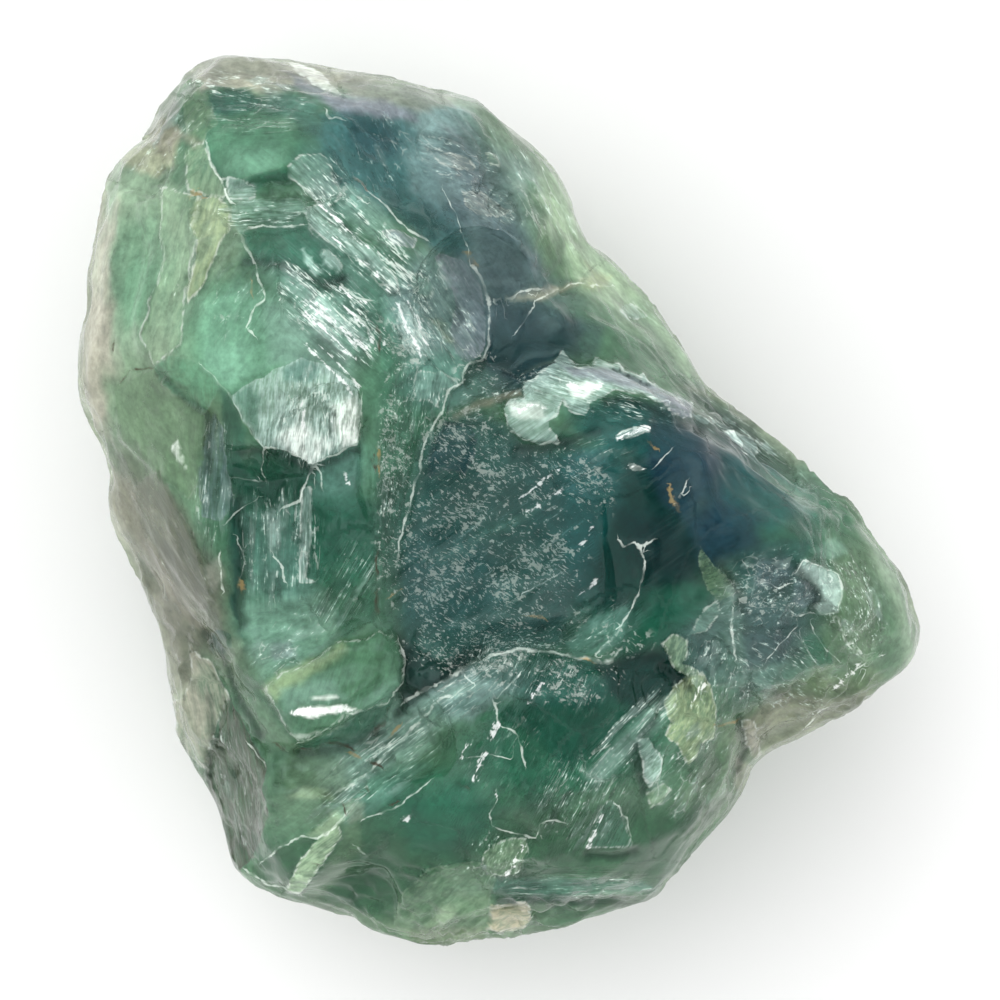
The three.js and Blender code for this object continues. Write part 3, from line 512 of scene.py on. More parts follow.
# Smooth glassy areas: middle and half-lengths in pixels, turn in degrees
CALM = [
    ((250, 150), (56, 34), 0), ((225, 335), (56, 64), 0), ((115, 330), (50, 160), 0),
    ((560, 200), (44, 130), 30), ((640, 340), (50, 110), 38), ((340, 690), (60, 44), 20),
    ((300, 845), (60, 56), 0), ((735, 500), (90, 76), -30), ((660, 560), (70, 110), 0),
    ((500, 560), (120, 130), 0), ((430, 820), (110, 60), 0), ((155, 520), (46, 110), 30),
    ((640, 840), (110, 60), 10), ((880, 610), (40, 110), 15), ((520, 340), (60, 50), 0),
    ((368, 440), (14, 90), 0), ((570, 740), (90, 60), 0),
]

# Frosted streaks: middle and half-lengths in pixels, direction in degrees, cover, and how long and wide one
# wisp is in mm
WISPS = [
    ((110, 300), (130, 40), 76, 0.15, (9.0, 1.6)), ((165, 145), (60, 40), 50, 0.45, (3.0, 1.0)),
    ((190, 250), (80, 34), 74, 0.25, (5.0, 1.4)), ((250, 92), (90, 24), -8, 0.55, (4.0, 0.8)),
    ((255, 118), (60, 22), 0, 0.45, (4.0, 0.5)), ((262, 212), (58, 20), 2, 0.65, (4.0, 0.5)),
    ((320, 180), (40, 34), -45, 0.6, (4.0, 0.7)), ((370, 245), (110, 34), -42, 0.85, (5.0, 0.6)),
    ((335, 315), (90, 44), -42, 0.9, (4.0, 0.6)), ((430, 320), (60, 60), -55, 0.6, (3.0, 0.6)),
    ((240, 300), (60, 50), 55, 0.3, (3.0, 1.0)), ((312, 420), (60, 44), 84, 0.8, (4.0, 0.7)),
    ((395, 450), (120, 22), 84, 0.55, (1.8, 0.5)), ((425, 410), (60, 24), 84, 0.55, (3.0, 0.5)),
    ((215, 480), (90, 26), 86, 0.45, (6.0, 0.7)), ((280, 545), (80, 50), 88, 0.6, (5.0, 0.7)),
    ((345, 590), (70, 36), 60, 0.5, (7.0, 0.4)), ((290, 640), (60, 40), 30, 0.4, (2.5, 1.2)),
    ((170, 560), (130, 34), -58, 0.2, (6.0, 0.9)), ((235, 790), (90, 28), -80, 0.35, (5.0, 0.6)),
    ((340, 690), (70, 44), 70, 0.2, (4.0, 1.0)), ((380, 765), (100, 36), 38, 0.65, (6.0, 0.7)),
    ((455, 160), (60, 30), -18, 0.4, (2.5, 0.6)), ((380, 150), (60, 50), -60, 0.3, (2.5, 0.9)),
    ((540, 190), (110, 40), -62, 0.35, (6.0, 1.0)), ((490, 205), (40, 24), -30, 0.5, (2.0, 0.5)),
    ((640, 320), (80, 34), -42, 0.2, (5.0, 0.9)), ((600, 395), (100, 24), -16, 0.65, (4.0, 0.5)),
    ((490, 545), (130, 130), 34, 0.22, (9.0, 0.9)), ((490, 400), (50, 22), 20, 0.5, (1.6, 0.6)),
    ((740, 430), (90, 22), -36, 0.65, (6.0, 0.6)), ((590, 465), (60, 40), 25, 0.3, (5.0, 0.6)),
    ((600, 630), (50, 34), 35, 0.4, (3.0, 0.7)), ((535, 672), (38, 96), 64, 0.45, (4.0, 0.35)),
    ((470, 690), (80, 24), 35, 0.5, (5.0, 0.6)), ((770, 590), (70, 50), 20, 0.5, (1.6, 0.8)),
    ((780, 670), (90, 50), -30, 0.45, (2.4, 0.7)), ((850, 600), (70, 40), -70, 0.6, (1.8, 0.8)),
    ((840, 490), (90, 30), -45, 0.25, (6.0, 1.0)), ((620, 745), (100, 30), 46, 0.7, (7.0, 0.5)),
    ((500, 750), (70, 60), 60, 0.25, (2.4, 0.6)), ((580, 800), (60, 60), 62, 0.5, (4.0, 0.35)),
    ((690, 770), (60, 60), 50, 0.45, (3.0, 0.8)), ((500, 860), (40, 40), 60, 0.5, (2.4, 0.7)),
    ((580, 888), (110, 18), 2, 0.5, (6.0, 0.5)), ((440, 900), (60, 50), 40, 0.2, (4.0, 1.2)),
    ((720, 680), (50, 60), 75, 0.5, (2.4, 0.8)),
]

# Fields of bright etched specks: middle and half-lengths in pixels, cover
SPECKS = [
    ((470, 470), (64, 64), 1.0), ((540, 476), (64, 34), 0.9), ((450, 560), (80, 80), 1.0),
    ((530, 580), (64, 80), 1.0), ((480, 640), (90, 40), 0.9), ((590, 500), (26, 40), 0.5),
    ((395, 450), (18, 110), 0.6), ((410, 340), (26, 50), 0.8), ((560, 680), (70, 26), 0.7),
    ((620, 640), (40, 20), 0.3), ((490, 375), (40, 24), 0.7), ((770, 590), (40, 30), 0.5),
]


def smoothstep(low, high, value):
    share = np.clip((value - low) / (high - low), 0.0, 1.0)
    return share * share * (3.0 - 2.0 * share)


def plan(pixels):
    """Pixels of the photograph as places on the face, in millimetres."""
    spots = np.atleast_2d(np.array(pixels, float))
    return np.stack([spots[:, 0] - PICTURE_MIDDLE, PICTURE_MIDDLE - spots[:, 1]], axis=1) * PIXEL


def path_places(text):
    """A path written as x,y pairs of pixels, as places on the face."""
    return plan([pair.split(",") for pair in text.split()])


def linear(name):
    """A colour as linear light, brightened to suit the scene."""
    share = np.array(COLOURS[name]) / 255
    return GAIN * np.where(share < 0.04045, share / 12.92, ((share + 0.055) / 1.055) ** 2.4)


class Noise:
    """Seeded gradient noise over points in millimetres, from about -1 to 1."""

    def __init__(self, seed):
        rng = np.random.default_rng(seed)
        self.order = rng.permutation(256)
        slopes = rng.normal(size=(256, 3))
        self.slopes = slopes / np.linalg.norm(slopes, axis=1, keepdims=True)

    def __call__(self, points, size):
        at = points / size
        cell = np.floor(at).astype(int)
        inside = at - cell
        ease = inside**3 * (inside * (inside * 6 - 15) + 10)
        total = np.zeros(len(points))
        for corner in np.ndindex(2, 2, 2):
            i, j, k = ((cell + corner) & 255).T
            slope = self.slopes[self.order[(self.order[(self.order[i] + j) & 255] + k) & 255]]
            share = np.prod(np.where(corner, ease, 1 - ease), axis=1)
            total += share * np.einsum("ij,ij->i", slope, inside - corner)
        return total * 1.6

    def pair(self, points, size, shift):
        """Two unlike noises, side by side."""
        return np.stack([self(points, size), self(points + shift, size)], axis=1)


def to_segment(at, start, end):
    """Distance from each place to a segment, and the side of it that the place is on."""
    along = end - start
    away = at - start
    share = np.clip((away @ along) / (along @ along), 0, 1)
    off = away - share[:, None] * along
    side = np.sign(along[0] * away[:, 1] - along[1] * away[:, 0])
    return np.linalg.norm(off, axis=1), side


def nearby(at, nodes, reach):
    low = nodes.min(axis=0) - reach
    high = nodes.max(axis=0) + reach
    return np.flatnonzero(np.all((at > low) & (at < high), axis=1))


def line_field(at, paths, thin=1.0, reach=2.5):
    """Distance to the nearest path in half widths, signed by side, and whether one is near."""
    best = np.full(len(at), reach)
    signed = np.full(len(at), 9.0)
    for width, path in paths:
        nodes = path_places(path)
        near = nearby(at, nodes, reach)
        for start, end in zip(nodes, nodes[1:]):
            far, side = to_segment(at[near], start, end)
            closer = far < best[near]
            best[near[closer]] = far[closer]
            signed[near[closer]] = (far * side / (width * thin))[closer]
    return signed, smoothstep(0.9, 0.5, best)


def strokes(at, kind, width=1.0):
    """How far each place is within a soft stroke, from 1 on its middle to 0 well off it."""
    return np.exp(-((line_field(at, LINES[kind])[0] / width) ** 2))


def depth_inside(at, nodes):
    """Distance in mm to an outline, positive inside it."""
    far = np.full(len(at), 1e3)
    inside = np.zeros(len(at), bool)
    for start, end in zip(nodes, np.roll(nodes, -1, axis=0)):
        far = np.minimum(far, to_segment(at, start, end)[0])
        crosses = (start[1] > at[:, 1]) != (end[1] > at[:, 1])
        slope = (end[0] - start[0]) / ((end[1] - start[1]) or 1e-9)
        inside ^= crosses & (at[:, 0] < start[0] + slope * (at[:, 1] - start[1]))
    return np.where(inside, far, -far)


def patches_near(at, reach):
    """Each patch's colour, cover and edge, the places near it and how deep inside it they are."""
    for region in PATCHES.values():
        for name, cover, edge, outline in region:
            nodes = path_places(outline)
            near = nearby(at, nodes, reach)
            yield name, cover, edge, near, depth_inside(at[near], nodes)


def local_places(at, middle, half, degrees):
    """Places in mm along and across a patch, and how deep inside it each is, up to 1."""
    turn = math.radians(degrees)
    along = np.array([math.cos(turn), math.sin(turn)])
    across = np.array([-along[1], along[0]])
    away = at - plan(middle)
    u = away @ along
    v = away @ across
    reach = np.array(half) * PIXEL
    return u, v, 1 - np.hypot(u / reach[0], v / reach[1])


def calm_places(at):
    calm = np.zeros(len(at))
    for middle, half, degrees in CALM:
        calm = np.maximum(calm, smoothstep(-0.1, 0.35, local_places(at, middle, half, degrees)[2]))
    return calm


def seen(points):
    """Places in the picture's plane at the rim's height, as the camera straight above sees them."""
    return points[:, :2] * ((CAMERA_HEIGHT - RIM) / (CAMERA_HEIGHT - points[:, 2:]))


def wobbled(points, noise):
    """Places in the picture, shaken a little so that outlines turn ragged."""
    return seen(points) + 0.26 * noise.pair(points, 1.6, 50) + 0.24 * noise.pair(points, 4.5, 90)


def evaluated_mesh(piece):
    graph = bpy.context.evaluated_depsgraph_get()
    return bpy.data.meshes.new_from_object(piece.evaluated_get(graph))


def places(mesh):
    flat = np.empty(len(mesh.vertices) * 3, np.float32)
    mesh.vertices.foreach_get("co", flat)
    return flat.reshape(-1, 3).astype(float) / MM


def put_back(mesh, points):
    mesh.vertices.foreach_set("co", (points * MM).astype(np.float32).ravel())
    mesh.update()


def edge_ends(mesh):
    flat = np.empty(len(mesh.edges) * 2, np.int32)
    mesh.edges.foreach_get("vertices", flat)
    return flat.reshape(-1, 2).T


def normals_of(mesh):
    flat = np.empty(len(mesh.vertices) * 3, np.float32)
    mesh.vertex_normals.foreach_get("vector", flat)
    return flat.reshape(-1, 3).astype(float)


def averaged(values, ends):
    """Each vertex's mean over its neighbours."""
    a, b = ends
    count = np.bincount(a, minlength=len(values)) + np.bincount(b, minlength=len(values))
    sums = [
        np.bincount(a, column[b], len(values)) + np.bincount(b, column[a], len(values))
        for column in values.T
    ]
    return np.stack(sums, axis=1) / count[:, None]


def smoothed(values, ends, rounds, share=0.6):
    for _ in range(rounds):
        values = values + (averaged(values, ends) - values) * share
    return values


def remeshed_copy(node_name):
    """An even fine mesh of the node, coarser beneath, where it rests."""
    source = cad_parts[node_name]
    piece = bpy.data.objects.new("stone", source.data.copy())
    bpy.context.scene.collection.objects.link(piece)
    weld = piece.modifiers.new("weld", "WELD")
    weld.merge_threshold = WELD * MM
    remesh = piece.modifiers.new("remesh", "REMESH")
    remesh.mode = "VOXEL"
    remesh.voxel_size = VOXEL * MM
    mesh = evaluated_mesh(piece)
    piece.modifiers.clear()
    piece.data = mesh
    put_back(mesh, smoothed(places(mesh), edge_ends(mesh), SMOOTH_ROUNDS))
    beneath = np.flatnonzero(normals_of(mesh)[:, 2] < UNDERSIDE)
    group = piece.vertex_groups.new(name="beneath")
    group.add([int(index) for index in beneath], 1.0, "REPLACE")
    thin = piece.modifiers.new("thin", "DECIMATE")
    thin.ratio = 1 - len(beneath) / len(mesh.vertices) * (1 - UNDERSIDE_SHARE)
    thin.vertex_group = "beneath"
    piece.data = evaluated_mesh(piece)
    piece.modifiers.clear()
    piece.vertex_groups.clear()
    return piece


def terraces(points, normals, noise, spec):
    """Cleavage steps: the surface snaps to planes across one direction, where it nearly faces it."""
    out = np.array(spec["out"]) / np.linalg.norm(spec["out"])
    facing = smoothstep(0.6, 0.92, normals @ out)
    patch = smoothstep(-0.1, 0.3, noise(points + 31 * out, 13.0))
    level = points @ out / spec["rise"] + 1.2 * noise(points, 9.0) + 0.25 * noise(points, 2.2)
    part = level - np.floor(level)
    stair = smoothstep(0.35, 0.65, part)
    return (facing * patch * (stair - part) * spec["rise"] * 0.7)[:, None] * out


def shell_chips(points, normals, count, low, high, seed):
    """Shell-shaped chips: shallow balls pressed out of the surface."""
    rng = np.random.default_rng(seed)
    for index in rng.choice(len(points), count, replace=False):
        width = rng.uniform(low, high)
        ball = width * rng.uniform(1.6, 2.8)
        depth = ball - math.sqrt(ball**2 - (width / 2) ** 2)
        tilt = normals[index] + rng.normal(scale=0.22, size=3)
        tilt /= np.linalg.norm(tilt)
        middle = points[index] + tilt * (ball - depth)
        near = np.flatnonzero(np.abs(points - middle).max(axis=1) < ball)
        away = points[near] - middle
        far = np.linalg.norm(away, axis=1)
        inside = far < ball
        points[near[inside]] = middle + away[inside] * (ball / far[inside])[:, None]
    return points


def flat_chips(points, normals, count, low, high, seed):
    """Flat chips: shallow caps cut level off the swellings."""
    rng = np.random.default_rng(seed)
    for index in rng.choice(len(points), count, replace=False):
        width = rng.uniform(low, high)
        tilt = normals[index] + rng.normal(scale=0.16, size=3)
        tilt /= np.linalg.norm(tilt)
        seat = points[index] - tilt * width * 0.04
        near = np.flatnonzero(np.abs(points - seat).max(axis=1) < width)
        above = (points[near] - seat) @ tilt
        far = np.linalg.norm(points[near] - seat, axis=1)
        cut = np.clip(above, 0, 0.08 * width) * smoothstep(width, width * 0.7, far)
        points[near] -= cut[:, None] * tilt
    return points


def cells(places_in_cells, seed):
    """Nearest random seed of a jittered grid: four random shares per cell, and the way to it."""
    base = np.floor(places_in_cells).astype(np.int64)
    best = np.full(len(base), 1e9)
    shares = np.zeros((len(base), 4))
    away = np.zeros((len(base), 3))
    tables = np.random.default_rng(seed).random((4096, 7))
    for step in np.ndindex(3, 3, 3):
        cell = base + (np.array(step) - 1)
        i, j, k = (cell * CELL_KEYS).T
        row = tables[(i ^ j ^ k) % len(tables)]
        off = places_in_cells - (cell + row[:, :3])
        far = np.einsum("ij,ij->i", off, off)
        closer = far < best
        best = np.where(closer, far, best)
        shares[closer] = row[closer, 3:]
        away[closer] = off[closer]
    return shares, away


def flow_places(points):
    """Places stretched along the streaks of the nearest patch, and how much streaks cover them."""
    at = seen(points)
    flow = points / np.array([3, 2, 3])
    cover = np.zeros(len(points))
    strongest = np.full(len(points), -0.6)
    for index, (middle, half, degrees, strength, (long, wide)) in enumerate(WISPS):
        u, v, deep = local_places(at, middle, half, degrees)
        here = deep > strongest
        strongest[here] = deep[here]
        spread = np.stack([u / long, v / wide, points[:, 2] / long + 7.3 * index], axis=1)
        flow[here] = spread[here]
        cover = np.maximum(cover, smoothstep(-0.15, 0.5, deep) * strength)
    return flow, cover


def flakes(points, flow, noise):
    """Thin broken flakes: each cell of the surface is lifted, tilted and toned a little."""
    bent = flow / 2.2 + 0.12 * np.tile(noise.pair(points, 2.5, 70), 2)[:, :3]
    shares, away = cells(bent * np.array([1.3, 0.8, 1.0]), SEED + 5)
    lift = 0.30 * (shares[:, 0] - 0.5)
    tip = 0.36 * ((shares[:, 1] - 0.5) * away[:, 0] + (shares[:, 2] - 0.5) * away[:, 1])
    coarse, far = cells(points / 5.5, SEED + 6)
    lift += 0.40 * (coarse[:, 0] - 0.5)
    tip += 0.55 * np.einsum("ij,ij->i", coarse[:, 1:4] - 0.5, far)
    tone = 0.6 * shares[:, 3] + 0.4 * coarse[:, 0]
    return lift + tip, tone


def sheet_relief(at):
    """Height of the proud sheets, lips and grooves."""
    rise = np.zeros(len(at))
    for _, cover, edge, near, deep in patches_near(at, 1.0):
        if edge == 0:
            rise[near] += SHEET_RISE * cover * smoothstep(-0.2, 0.3, deep)
    rise += LIP_RISE * strokes(at, "pale", 1.6)
    rise -= RUST_DEPTH * strokes(at, "rust", 1.6)
    rise -= SHADE_DEPTH * strokes(at, "shade")
    return rise


def flattened(points, at, upward):
    """Press the face toward one plane within each crisp patch, as a cleavage face is."""
    points = points.copy()
    for _, _, edge, near, deep in patches_near(at, 0.5):
        inside = (upward[near] > 0.5) & (deep > 0)
        within = near[inside]
        if edge not in (0, "flat") or len(within) < 20:
            continue
        rows = np.c_[points[within, :2], np.ones(len(within))]
        plane = np.linalg.lstsq(rows, points[within, 2], rcond=None)[0]
        drop = rows @ plane - points[within, 2]
        share = 0.75 * smoothstep(0, 0.4, deep[inside])
        points[within, 2] += np.clip(drop, -1.0, 1.0) * share
    return points


def carve(piece):
    """Break the smooth form up, then paint it."""
    noise = Noise(SEED)
    mesh = piece.data
    points = places(mesh)
    broad = smoothed(normals_of(mesh), edge_ends(mesh), BROAD_ROUNDS)
    broad /= np.linalg.norm(broad, axis=1, keepdims=True)
    upward = smoothstep(0.05, 0.4, broad[:, 2])
    calm = calm_places(seen(points)) * upward
    chipped = flat_chips(points.copy(), broad, *FLAT_CHIPS, SEED + 1)
    chipped = shell_chips(chipped, broad, *SHELL_CHIPS, SEED + 2)
    for spec in CLEAVAGE_SETS:
        chipped = chipped + terraces(chipped, broad, noise, spec)
    points += (chipped - points) * (1 - 0.8 * calm)[:, None]
    points = flattened(points, seen(points), upward)
    flow, cover = flow_places(points)
    lift, tone = flakes(points, flow, noise)
    broken = (0.25 + 0.75 * smoothstep(0.2, 0.6, cover)) * (1 - 0.7 * calm)
    rise = lift * broken + sheet_relief(wobbled(points, noise)) * upward
    rise += ROUGH_RISE * noise(points, 3.0) * (1 - 0.7 * calm)
    points = points + rise[:, None] * broad
    low, high = (np.array(corner) / MM for corner in cad_box)
    points = np.clip(points, low, high)
    put_back(mesh, points)
    for polygon in mesh.polygons:
        polygon.use_smooth = True
    paint(mesh, points, broad[:, 2], noise, flow, cover, tone, broken)


def zone_tint(points, noise):
    """The broad colour zones, softly shaken into each other."""
    soft = seen(points) + 1.6 * noise.pair(points, 7.0, 40)
    soft += 0.8 * noise.pair(points, 2.5, 60)
    tint = np.tile(linear("moss"), (len(points), 1))
    for name, middle, half, degrees, strength in ZONES:
        deep = local_places(soft, middle, half, degrees)[2]
        share = smoothstep(-0.3, 0.45, deep) * strength
        tint += (linear(name) - tint) * share[:, None]
    return tint


def worn_and_lit_wall_tint(points, noise):
    """Pale steep walls and underside: part worn skin, part painted light from the white floor."""
    pale = linear("sage") * 0.55 + linear("mist") * 0.4
    return pale + (linear("fern") - pale) * smoothstep(-0.2, 0.6, noise(points, 18))[:, None]


def lay_patches(ragged, tint):
    """Lay the patches on the tint. Crisp ones go to a second tint with its own signed depth."""
    sheet_tint = tint.copy()
    depth = np.full(len(tint), NO_SHEET)
    rim = np.zeros(len(tint))
    for name, cover, edge, near, deep in patches_near(ragged, 2.0):
        colour = linear(name)
        if edge in (0, "flat"):
            takes = (deep > 0) | ((deep > -SHEET_MARGIN) & (depth[near] < deep))
            spots = near[takes]
            sheet_tint[spots] = tint[spots] + (colour - tint[spots]) * cover
            depth[spots] = deep[takes]
            rim[spots] = 1.0 if edge == 0 else 0.15
        else:
            share = (smoothstep(-abs(edge), abs(edge), deep) * cover)[:, None]
            sheet_tint[near] += (colour - sheet_tint[near]) * share
            if edge > 0:
                tint[near] += (colour - tint[near]) * share
    return tint, sheet_tint, depth, rim


def speck_cover(at):
    specks = np.zeros(len(at))
    for middle, half, strength in SPECKS:
        deep = local_places(at, middle, half, 0)[2]
        specks = np.maximum(specks, smoothstep(-0.1, 0.4, deep) * strength)
    return specks


def attribute(mesh, name, *columns):
    layer = mesh.attributes.new(name, "FLOAT_VECTOR", "POINT")
    layer.data.foreach_set("vector", np.stack(columns, axis=1).astype(np.float32).ravel())


def colour_attribute(mesh, name, tint):
    layer = mesh.attributes.new(name, "FLOAT_COLOR", "POINT")
    layer.data.foreach_set("color", np.c_[tint, np.ones(len(tint))].astype(np.float32).ravel())


def paint(mesh, points, up, noise, flow, cover, tone, broken):
    """Store the colours, sheets, lines and streaks as attributes for the material."""
    ragged = wobbled(points, noise)
    facing = smoothstep(-0.15, 0.3, up)
    on_face = facing > FACE_LEAST
    tint, sheet_tint, depth, rim = lay_patches(ragged, zone_tint(points, noise))
    wall = 1 - smoothstep(-0.1, 0.45, up)
    # Painted light with worn skin: the steep walls and the underside turn pale
    tint += (worn_and_lit_wall_tint(points, noise) - tint) * (wall * 0.8)[:, None]
    change = (0.12 + 0.5 * broken) * (tone - 0.5)
    change += 0.14 * noise(points, 2.0) + 0.14 * noise(points, 6.0)
    # Painted shade along the shade strokes, weaker on the sheets
    shade = 1 - 0.6 * strokes(ragged, "shade") * facing
    tint *= (np.clip(1 + change, 0.4, 1.7) * shade)[:, None]
    sheet_tint *= (np.clip(1 + 0.5 * change, 0.6, 1.4) * (0.4 + 0.6 * shade))[:, None]
    colour_attribute(mesh, "tint", tint)
    colour_attribute(mesh, "sheet_tint", sheet_tint)

    lines, marks = zip(*(line_field(ragged, LINES[kind], thin) for kind, thin in THINNED.items()))
    uneven = smoothstep(-0.3, 0.3, noise(points, 2.2) + 0.5 * noise(points + 20, 0.9))
    uneven = (0.2 + 0.9 * uneven) * facing
    attribute(mesh, "lines", *lines)
    attribute(mesh, "marks", *(mark * uneven for mark in marks))

    depth = np.where(on_face, depth, NO_SHEET)
    shown = np.where((depth > 0)[:, None], sheet_tint, tint)
    light = shown @ np.array([0.2, 0.7, 0.1]) / GAIN
    milk = 0.40 + 0.9 * light + 0.5 * np.exp(-light / 0.02) + 0.08 * noise(points, 6.0)
    attribute(mesh, "sheet", depth, rim, milk)

    clusters = smoothstep(-0.35, 0.45, noise(flow * 2.0, 1.6) + 0.3 * noise(points, 4.0))
    cover = cover * (0.3 + 0.8 * clusters) * facing
    specks = speck_cover(seen(points)) * facing
    # White strokes: white fractures, and partly painted highlights and glints
    white = np.clip(1.5 - np.abs(line_field(ragged, LINES["white"])[0]), -1.0, 1.0) * on_face
    attribute(mesh, "flow", *flow.T)
    attribute(mesh, "facts", cover, specks, white)


class Graph:
    """Short ways to add shader nodes."""

    def __init__(self, tree):
        self.tree = tree

    def add(self, kind, inputs=None, **settings):
        made = self.tree.nodes.new("ShaderNode" + kind)
        for key, value in settings.items():
            setattr(made, key, value)
        for key, value in (inputs or {}).items():
            self.feed(made.inputs[key], value)
        return made

    def feed(self, socket, value):
        if isinstance(value, bpy.types.NodeSocket):
            self.tree.links.new(value, socket)
        else:
            socket.default_value = value

    def math(self, operation, a, b=0.0, clamp=False):
        made = self.add("Math", {0: a, 1: b}, operation=operation)
        made.use_clamp = clamp
        return made.outputs[0]

    def plus(self, *values):
        total = values[0]
        for value in values[1:]:
            total = self.math("ADD", total, value)
        return total

    def times(self, a, b):
        return self.math("MULTIPLY", a, b)

    def less(self, value, amount):
        return self.math("SUBTRACT", value, amount)

    def ramp(self, value, low, high, start=0.0, end=1.0):
        """Smooth step from low to high, which may run downward."""
        if low > high:
            low, high, start, end = high, low, end, start
        made = self.add(
            "MapRange",
            {"Value": value, "From Min": low, "From Max": high, "To Min": start, "To Max": end},
            interpolation_type="SMOOTHSTEP",
        )
        return made.outputs["Result"]

    def mix(self, share, a, b):
        made = self.add("Mix", {0: share}, data_type="RGBA")
        self.feed(made.inputs[6], a)
        self.feed(made.inputs[7], b)
        return made.outputs[2]

    def read(self, name, output="Vector"):
        return self.add("Attribute", attribute_name=name).outputs[output]

    def parts(self, name):
        return self.add("SeparateXYZ", {0: self.read(name)}).outputs

    def noise(self, place, scale, detail=2.0, rough=0.5, output="Fac"):
        inputs = {"Vector": place, "Scale": scale, "Detail": detail, "Roughness": rough}
        return self.add("TexNoise", inputs).outputs[output]


def frosted_streaks(g, flow, cover, hair, grit):
    """Streaks along each patch's own direction: soft broad ones, and crisp small flecks."""
    push = g.times(g.less(cover, 0.5), 0.34)
    level = g.plus(hair, g.times(grit, 0.15), push)
    wisp = g.times(g.ramp(level, 0.48, 0.78), g.ramp(cover, 0.0, 0.3))
    level = g.plus(g.times(hair, 0.45), g.times(g.noise(flow, 3.2, 3, 0.65), 0.55))
    level = g.plus(level, g.times(push, 0.8))
    fleck = g.times(g.ramp(level, 0.58, 0.68), g.ramp(cover, 0.05, 0.35))
    return wisp, fleck


def etched_specks(g, place, specks, fine, clump):
    """Bright specks in the hollow: dots, and short dashes that run down to the right."""
    stray = {0: g.noise(place, DRIFT_SCALE, 1, output="Color"), 1: (DASH_STRAY * MM,) * 3, 2: place}
    drift = g.add("VectorMath", stray, operation="MULTIPLY_ADD").outputs[0]
    size = tuple(length * MM for length in DASH_SIZE)
    stretch = {"Vector": drift, "Rotation": (0, 0, math.radians(DASH_TURN)), "Scale": size}
    dash = g.noise(g.add("Mapping", stretch, vector_type="TEXTURE").outputs[0], 1, 2, 0.7)
    dash = g.plus(dash, g.times(g.less(specks, 0.8), 0.12), g.times(clump, 0.4))
    dots = g.ramp(g.plus(fine, g.times(clump, 0.3)), 0.60, 0.68)
    bright = g.math("MAXIMUM", g.ramp(dash, 0.58, 0.68), dots)
    return g.times(bright, g.ramp(specks, 0.0, 0.3))


def crisp_sheets(g, depth, rim, hair, grit):
    """Where a crisp sheet lies, with its own ragged edge, and its broken pale rim."""
    ragged = g.plus(depth, g.times(grit, 0.4))
    from_edge = g.math("ABSOLUTE", g.less(ragged, 0.08))
    edge = g.times(g.ramp(from_edge, 0.26, 0.03), g.times(rim, g.ramp(hair, 0.42, 0.6)))
    return g.ramp(ragged, -0.05, 0.05), edge


def thin_lines(g, grit):
    """The pale, rusty and golden lines, ragged by the grain."""
    found = []
    for signed, near, grain in zip(g.parts("lines"), g.parts("marks"), (3.2, 3.6, 3.6)):
        off = g.plus(g.math("ABSOLUTE", signed), g.times(grit, grain))
        found.append(g.times(g.ramp(off, 1.2, 0.3), near))
    return found


def broken_facets(g, flow, cover, fine, grit, clump):
    """Stretched cells: each one's own tone, the veil over a few, and fine cracks between them."""
    shaken = g.add("VectorMath", {0: flow, 1: g.times(grit, 0.25)}, operation="ADD").outputs[0]
    facet = g.add("TexVoronoi", {"Vector": shaken, "Scale": 0.55}).outputs["Color"]
    tone, chance, _ = g.add("SeparateColor", {0: facet}).outputs
    veil = g.times(g.ramp(chance, 0.72, 0.95), g.ramp(cover, 0.1, 0.6))
    gap = g.add("TexVoronoi", {"Vector": shaken, "Scale": 0.8}, feature="DISTANCE_TO_EDGE")
    crack = g.times(g.ramp(gap.outputs["Distance"], 0.05, 0.01), g.ramp(cover, 0.12, 0.4))
    crack = g.times(crack, g.ramp(g.plus(fine, clump), 0.48, 0.62))
    return tone, veil, crack


def rgba(name, gain=1.0):
    return (*np.minimum(linear(name) * gain, 1), 1)


